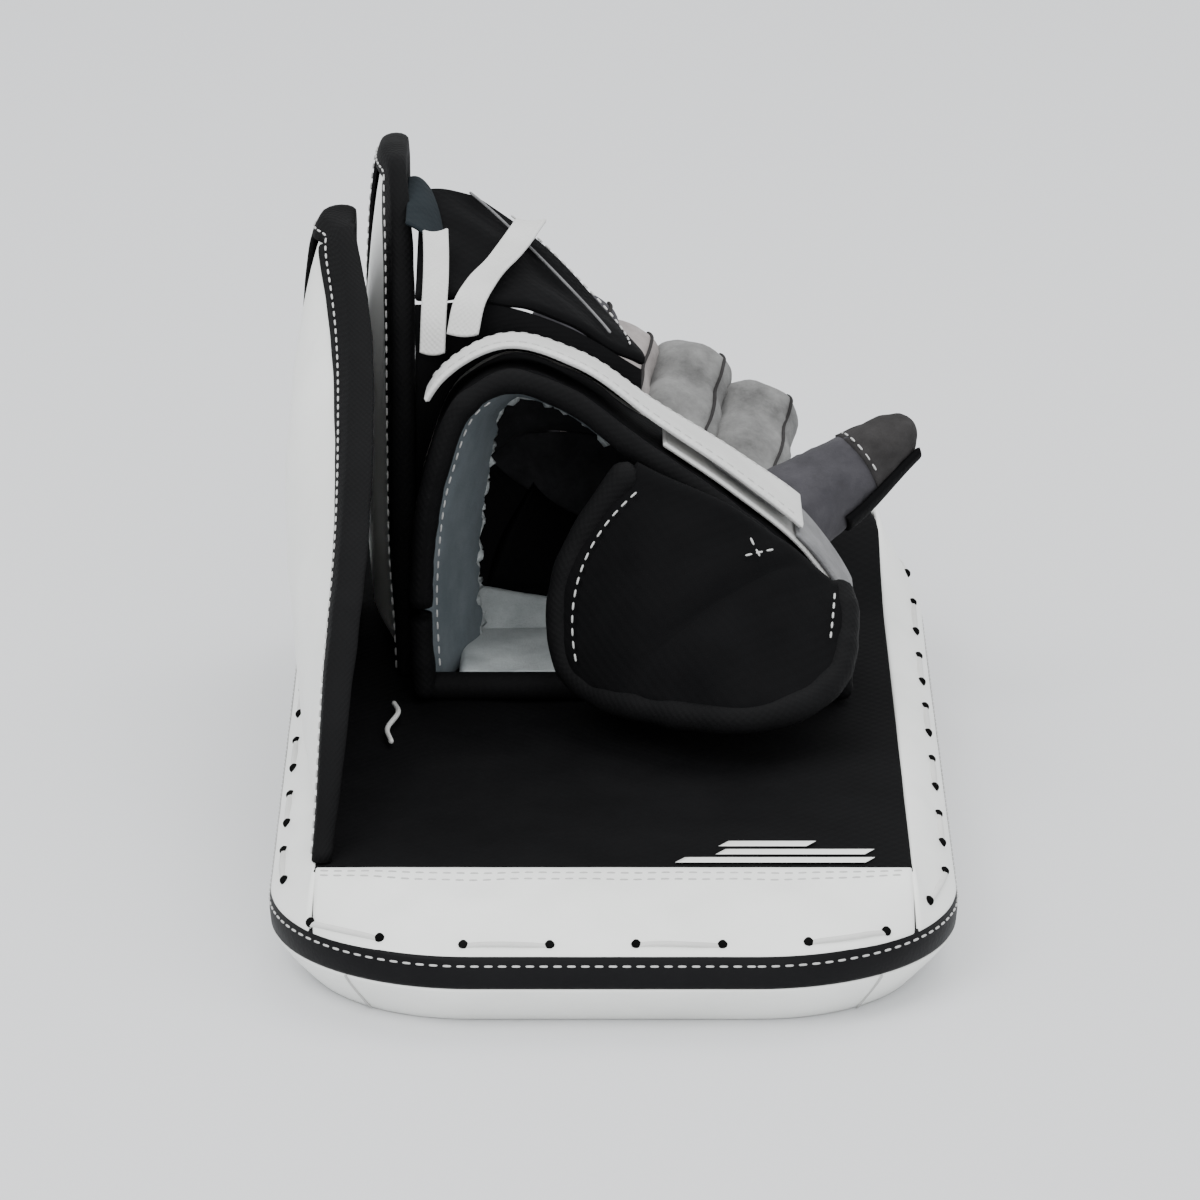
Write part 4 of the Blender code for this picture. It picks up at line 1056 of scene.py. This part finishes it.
def sleeve(name, path, across, deep, widths, depths, material, seed, sides=40):
    """A glove finger: an oval sleeve along a path, closed by a round tip, with soft wrinkles."""
    turn = np.linspace(0, 2 * math.pi, sides, endpoint=False)
    power = 0.85
    c = np.sign(np.cos(turn)) * np.abs(np.cos(turn)) ** power
    s = np.sign(np.sin(turn)) * np.abs(np.sin(turn)) ** power
    loops = (path[:, None] + c[None, :, None] * across[:, None] * widths[:, None, None]
             + s[None, :, None] * deep[:, None] * depths[:, None, None])
    centre = path[:, None]
    wrinkle = 0.5 * ripple(loops, 13.0, seed) + 0.25 * ripple(loops * (1.0, 2.2, 1.0), 7.0, seed + 1)
    loops = loops + unit(loops - centre) * (wrinkle * (widths[:, None] > 4))[..., None]
    return loft(name, loops, material)


def stations(start, length, count):
    """Distances along a finger: even steps, then closer ones round its tip."""
    body = np.linspace(start, length - TIP_ROUND, count)
    return np.concatenate((body, length - TIP_ROUND * (1 - np.sin(np.linspace(0.15, 1.5, 10)))))


def bent_finger(order, name, length):
    """The path, frame and girth of one finger, from inside the palm to its tip."""
    base = INDEX_BASE - PALM_ACROSS * FINGER_PITCH * order
    deep = np.cross(PALM_ACROSS, FINGER_AIM)
    s = stations(-11.0, length, 34)
    curl = -5.5 * (np.clip(s, 0, None) / length) ** 1.5
    lean = np.array((12.0, 0.0, 7.0)) if name == "little" else np.zeros(3)
    path = base + FINGER_AIM * s[:, None] + deep * curl[:, None] + lean * ease(s / length)[:, None]
    tip = np.clip((s - (length - TIP_ROUND)) / TIP_ROUND, 0.0, 1.0)
    round_off = np.sqrt(np.maximum(1.0 - tip ** 2, 0.01))
    first_joint = 0.10 * np.exp(-((s - 0.30 * length) / 5.0) ** 2)
    second_joint = 0.08 * np.exp(-((s - 0.64 * length) / 5.0) ** 2)
    knuckle = 1.0 - first_joint - second_joint
    widths = FINGER_HALF_WIDTH * knuckle * round_off
    depths = FINGER_HALF_DEPTH * knuckle * round_off
    frame_across = np.repeat(PALM_ACROSS[None], len(s), axis=0)
    frame_deep = np.repeat(deep[None], len(s), axis=0)
    return base, path, frame_across, frame_deep, widths, depths


def make_fingers():
    """Four suede fingers; each bends at its knuckle, where its sleeve joins the palm."""
    looks = {"index": SUEDE, "middle": SUEDE, "ring": PINK_SUEDE, "little": THUMB}
    for order, (name, length) in enumerate(FINGER_LENGTHS.items()):
        base, path, across, deep, widths, depths = bent_finger(order, name, length)
        finger = sleeve(name + "_sleeve", path, across, deep, widths, depths, looks[name], 60 + order)
        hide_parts(name + "_finger")
        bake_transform(finger)
        sewn = slice(12, 38)
        seam = (path[sewn] + across[sewn] * widths[sewn, None] * 0.59
                + deep[sewn] * depths[sewn, None] * 0.92)
        belongs(rope(name + "_seam", seam, 0.55, THUMB_TIP, 6), name, "thumb_suede")


def make_thumb():
    """The thumb: a pale inner segment, a dark tip and the black guard behind."""
    hinge = unit(np.cross(THUMB_AIM, PALM_NORMAL))
    up = np.cross(hinge, THUMB_AIM)
    length = THUMB_LENGTH
    s = stations(-19.0, length, 30)
    path = THUMB_BASE + THUMB_AIM * s[:, None] + up * (1.5 * (np.clip(s, 0, None) / length) ** 2)[:, None]
    tip = np.clip((s - (length - TIP_ROUND)) / TIP_ROUND, 0.0, 1.0)
    girth = THUMB_GIRTH * np.sqrt(np.maximum(1.0 - tip ** 2, 0.01)) * (1.0 - 0.5 * ease((s - 2.0) / 42.0))
    girth *= 1.0 + 0.18 * ease(-(s - 6.0) / 16.0)
    across = np.repeat(hinge[None], len(s), axis=0)
    over = np.repeat(up[None], len(s), axis=0)
    cut = 22
    inner = sleeve("thumb_inner", path[:cut + 1], across[:cut + 1], over[:cut + 1], girth[:cut + 1],
                   girth[:cut + 1], THUMB, 71)
    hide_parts("thumb_sleeve")
    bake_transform(inner)
    end = sleeve("thumb_tip", path[cut - 1:], across[cut - 1:], over[cut - 1:], girth[cut - 1:] + 0.4,
                 girth[cut - 1:] + 0.4, THUMB_TIP, 72)
    belongs(end, "thumb", "thumb_suede")

    def guard(u, v):
        angle = math.radians(190.0) + math.radians(160.0) * u
        radius = THUMB_GIRTH * (1.0 - 0.5 * ease((1.0 + 34.0 * v) / 42.0)) + 1.6
        spoke = np.cos(angle)[:, None] * hinge + np.sin(angle)[:, None] * up
        return THUMB_BASE + THUMB_AIM * (3.0 + 34.0 * v)[:, None] + spoke * radius[:, None]
    fold = pad("thumb_guard_skin", guard, 2.4, NYLON, (40, 30), 1.2)
    belongs(cloth(fold, "stretched", "thumb_inner"), "thumb", "black_nylon", "thumb_guard")
    ring = path[cut] + (np.cos(np.linspace(0.3, 2.6, 30))[:, None] * hinge
                        + np.sin(np.linspace(0.3, 2.6, 30))[:, None] * up) * (girth[cut] + 1.0)
    belongs(stitches("thumb_seam_thread", ring, THREAD), "thumb", "white_lace")


# ---------------------------------------------------------------- the finger guard

GUARD_NET = (
    ((-62.0, 52.0, 150.0), (-40.0, 52.0, 150.5), (-15.0, 52.0, 143.0), (9.0, 53.0, 128.5)),
    ((-62.0, 88.0, 160.0), (-45.0, 88.0, 158.5), (-25.0, 86.0, 150.0), (-2.0, 82.0, 136.0)),
    ((-62.0, 122.0, 166.0), (-55.0, 123.0, 167.0), (-47.0, 122.0, 166.5), (-38.0, 118.0, 163.5)),
)


def guard_face(u, v):
    """The guard's underside: u from the wing to its free edge, v towards the fingers."""
    rows = [along(row, u) for row in GUARD_NET]
    weights = ((2 * v - 1) * (v - 1), 4 * v * (1 - v), v * (2 * v - 1))
    return sum(row * weight[:, None] for row, weight in zip(rows, weights))


ELASTIC_ROUTE = ((-26.0, 100.0, 164.5), (-34.0, 72.0, 160.5), (-41.0, 54.0, 157.0), (-45.0, 46.0, 151.5),
                 (-47.0, 42.5, 143.0))
TENSION_ROUTE = ((-56.0, 76.0, 167.5), (-55.5, 62.0, 163.0), (-55.5, 52.0, 157.5), (-56.0, 45.5, 149.0),
                 (-56.5, 42.5, 137.0))


def ribbon(route, width, seed):
    """A strip along a route, its width lying along X, a little curled at its edges."""
    def face(u, v):
        curl = 0.9 * (2 * u - 1) ** 2 + 0.5 * ripple(np.stack((u * 8, v * 90, 0 * u), axis=1), 22.0, seed)
        return along(route, v) + np.stack(((u - 0.5) * width, 0 * u, curl), axis=1)
    return face


def make_guard():
    """The black guard with its pale seam, and two elastic straps over it."""
    def middle(u, v):
        base = shifted(guard_face, u, v, np.full(u.shape, 1.9))
        return base + np.array((0.0, 0.0, 1.0)) * (1.2 * ripple(base, 24.0, 81))[:, None]
    body = "finger_wing"
    cover = pad("finger_guard_pad", middle, 3.2, NYLON, (60, 50), 2.0, 1.0)
    settle(cover, 4.0, 4.0, 3.0)
    belongs(cover, body, "black_nylon", "finger_guard")
    belongs(pad("elastic_strap_web", ribbon(ELASTIC_ROUTE, 10.0, 82), 1.4, WEBBING, (20, 70), 0.6), body,
            "white_webbing", "elastic_strap")
    belongs(pad("tension_strap_web", ribbon(TENSION_ROUTE, 8.0, 83), 1.4, WEBBING, (20, 60), 0.6), body,
            "white_webbing", "tension_strap")

    def hinge_cloth(u, v):
        low = shifted(guard_face, np.full(u.shape, 0.12), blend(0.30, 0.95, v), np.full(u.shape, 4.0))
        high = np.stack((np.full(u.shape, -65.5), blend(78.0, 118.0, v), blend(170.0, 174.0, v)), axis=1)
        arched = np.array((0.0, 0.0, 1.0)) * (2.0 * np.sin(math.pi * u))[:, None]
        return blend(high, low, u[:, None]) + arched
    hinge = pad("guard_hinge_cloth", hinge_cloth, 1.4, TEAL_CLOTH, (24, 40), 0.6)
    belongs(cloth(hinge, "hung", "finger_wing_lining_skin"), body, "black_nylon")

    def skirt(u, v):
        top = guard_face(u, np.zeros(u.shape)) + np.array((0.0, 0.5, 0.6))
        section = arch(np.linspace(0.0, 0.6, 120), np.ones(120))
        low = np.interp(top[:, 0], section[:, 0], section[:, 2]) + 0.5
        hem = np.stack((top[:, 0], np.full(u.shape, 50.0), np.minimum(low, top[:, 2] - 4.0)), axis=1)
        return blend(top, hem, v[:, None]) - np.array((0.0, 2.0, 0.0)) * np.sin(math.pi * v)[:, None]
    hem = pad("guard_skirt", skirt, 1.4, NYLON, (60, 20), 0.7)
    belongs(hem, body, "black_nylon")
    v = np.linspace(0.05, 0.95, 50)
    seam = shifted(guard_face, blend(0.82, 0.50, v), v, np.full(50, 5.0))
    belongs(rope("finger_guard_seam", seam, 0.45, LOOP, 6), body, "grey_webbing")
    row = shifted(guard_face, np.full(50, 0.90), v, np.full(50, 5.2))
    belongs(stitches("finger_guard_stitches", row, THREAD), body, "white_lace")


def make_lace_end():
    """A short loose end of lace on the nylon, by the wrist wing's foot."""
    height = FLOOR + 1.6
    route = ((-68.0, -6.0, height), (-66.5, -18.0, height + 1.0), (-69.5, -30.0, height),
             (-68.0, -42.0, height))
    path = along(route, np.linspace(0, 1, 40))
    tail = rope("wing_lace_tail", path, LACE_END_RADIUS, LACE, 10)
    belongs(tail, "board", "white_lace", "wing_lace_end")


# ---------------------------------------------------------------- the studio

CAMERA_LENS = 228.0
CAMERA_PLACE = (-0.004, -2.2425, 0.8032)
CAMERA_DIP = 18.1


def make_studio():
    """A pale floor, soft light from above and behind the camera, and the camera."""
    bpy.ops.mesh.primitive_plane_add(size=14.0, location=(0.0, 2.0, 0.0))
    floor = bpy.context.object
    floor.name = "studio_floor"
    paint = bpy.data.materials.new("studio paper")
    paint.use_nodes = True
    shader = paint.node_tree.nodes["Principled BSDF"]
    shader.inputs["Base Color"].default_value = (0.74, 0.745, 0.755, 1.0)
    shader.inputs["Roughness"].default_value = 1.0
    shader.inputs["Specular IOR Level"].default_value = 0.0
    floor.data.materials.append(paint)
    world = bpy.data.worlds.new("studio")
    bpy.context.scene.world = world
    world.use_nodes = True
    world.node_tree.nodes["Background"].inputs["Color"].default_value = (0.96, 0.98, 1.0, 1.0)
    world.node_tree.nodes["Background"].inputs["Strength"].default_value = 1.17
    for name, spot, aim_at, size, power in (
            ("key", (-1.0, -1.2, 1.9), (0.0, 0.0, 0.06), 1.4, 28.0),
            ("top", (0.5, 0.6, 2.2), (0.0, 0.0, 0.05), 2.0, 28.5),
            ("front", (0.5, -2.4, 1.0), (0.0, 0.0, 0.08), 1.2, 20.0)):
        lamp = bpy.data.lights.new(name, "AREA")
        lamp.energy = power
        lamp.size = size
        light = bpy.data.objects.new(name, lamp)
        light.location = spot
        way = np.array(aim_at) - np.array(spot)
        flat = math.hypot(way[0], way[1])
        light.rotation_euler = (math.atan2(flat, -way[2]), 0.0, math.atan2(way[1], way[0]) - math.pi / 2)
        bpy.context.scene.collection.objects.link(light)
    camera_data = bpy.data.cameras.new("camera")
    camera_data.lens = CAMERA_LENS
    camera_data.sensor_width = 36.0
    camera_data.clip_end = 50.0
    camera = bpy.data.objects.new("camera", camera_data)
    camera.location = CAMERA_PLACE
    camera.rotation_euler = (math.radians(90.0 - CAMERA_DIP), 0.0, 0.0)
    bpy.context.scene.collection.objects.link(camera)
    bpy.context.scene.camera = camera


make_studio()
make_board()
make_wing("wrist_wing", WRIST_WING, 13)
make_wing("finger_wing", FINGER_WING, 17)
make_cuff()
make_flap()
make_straps()
make_hand()
make_fingers()
make_thumb()
make_guard()
make_lace_end()
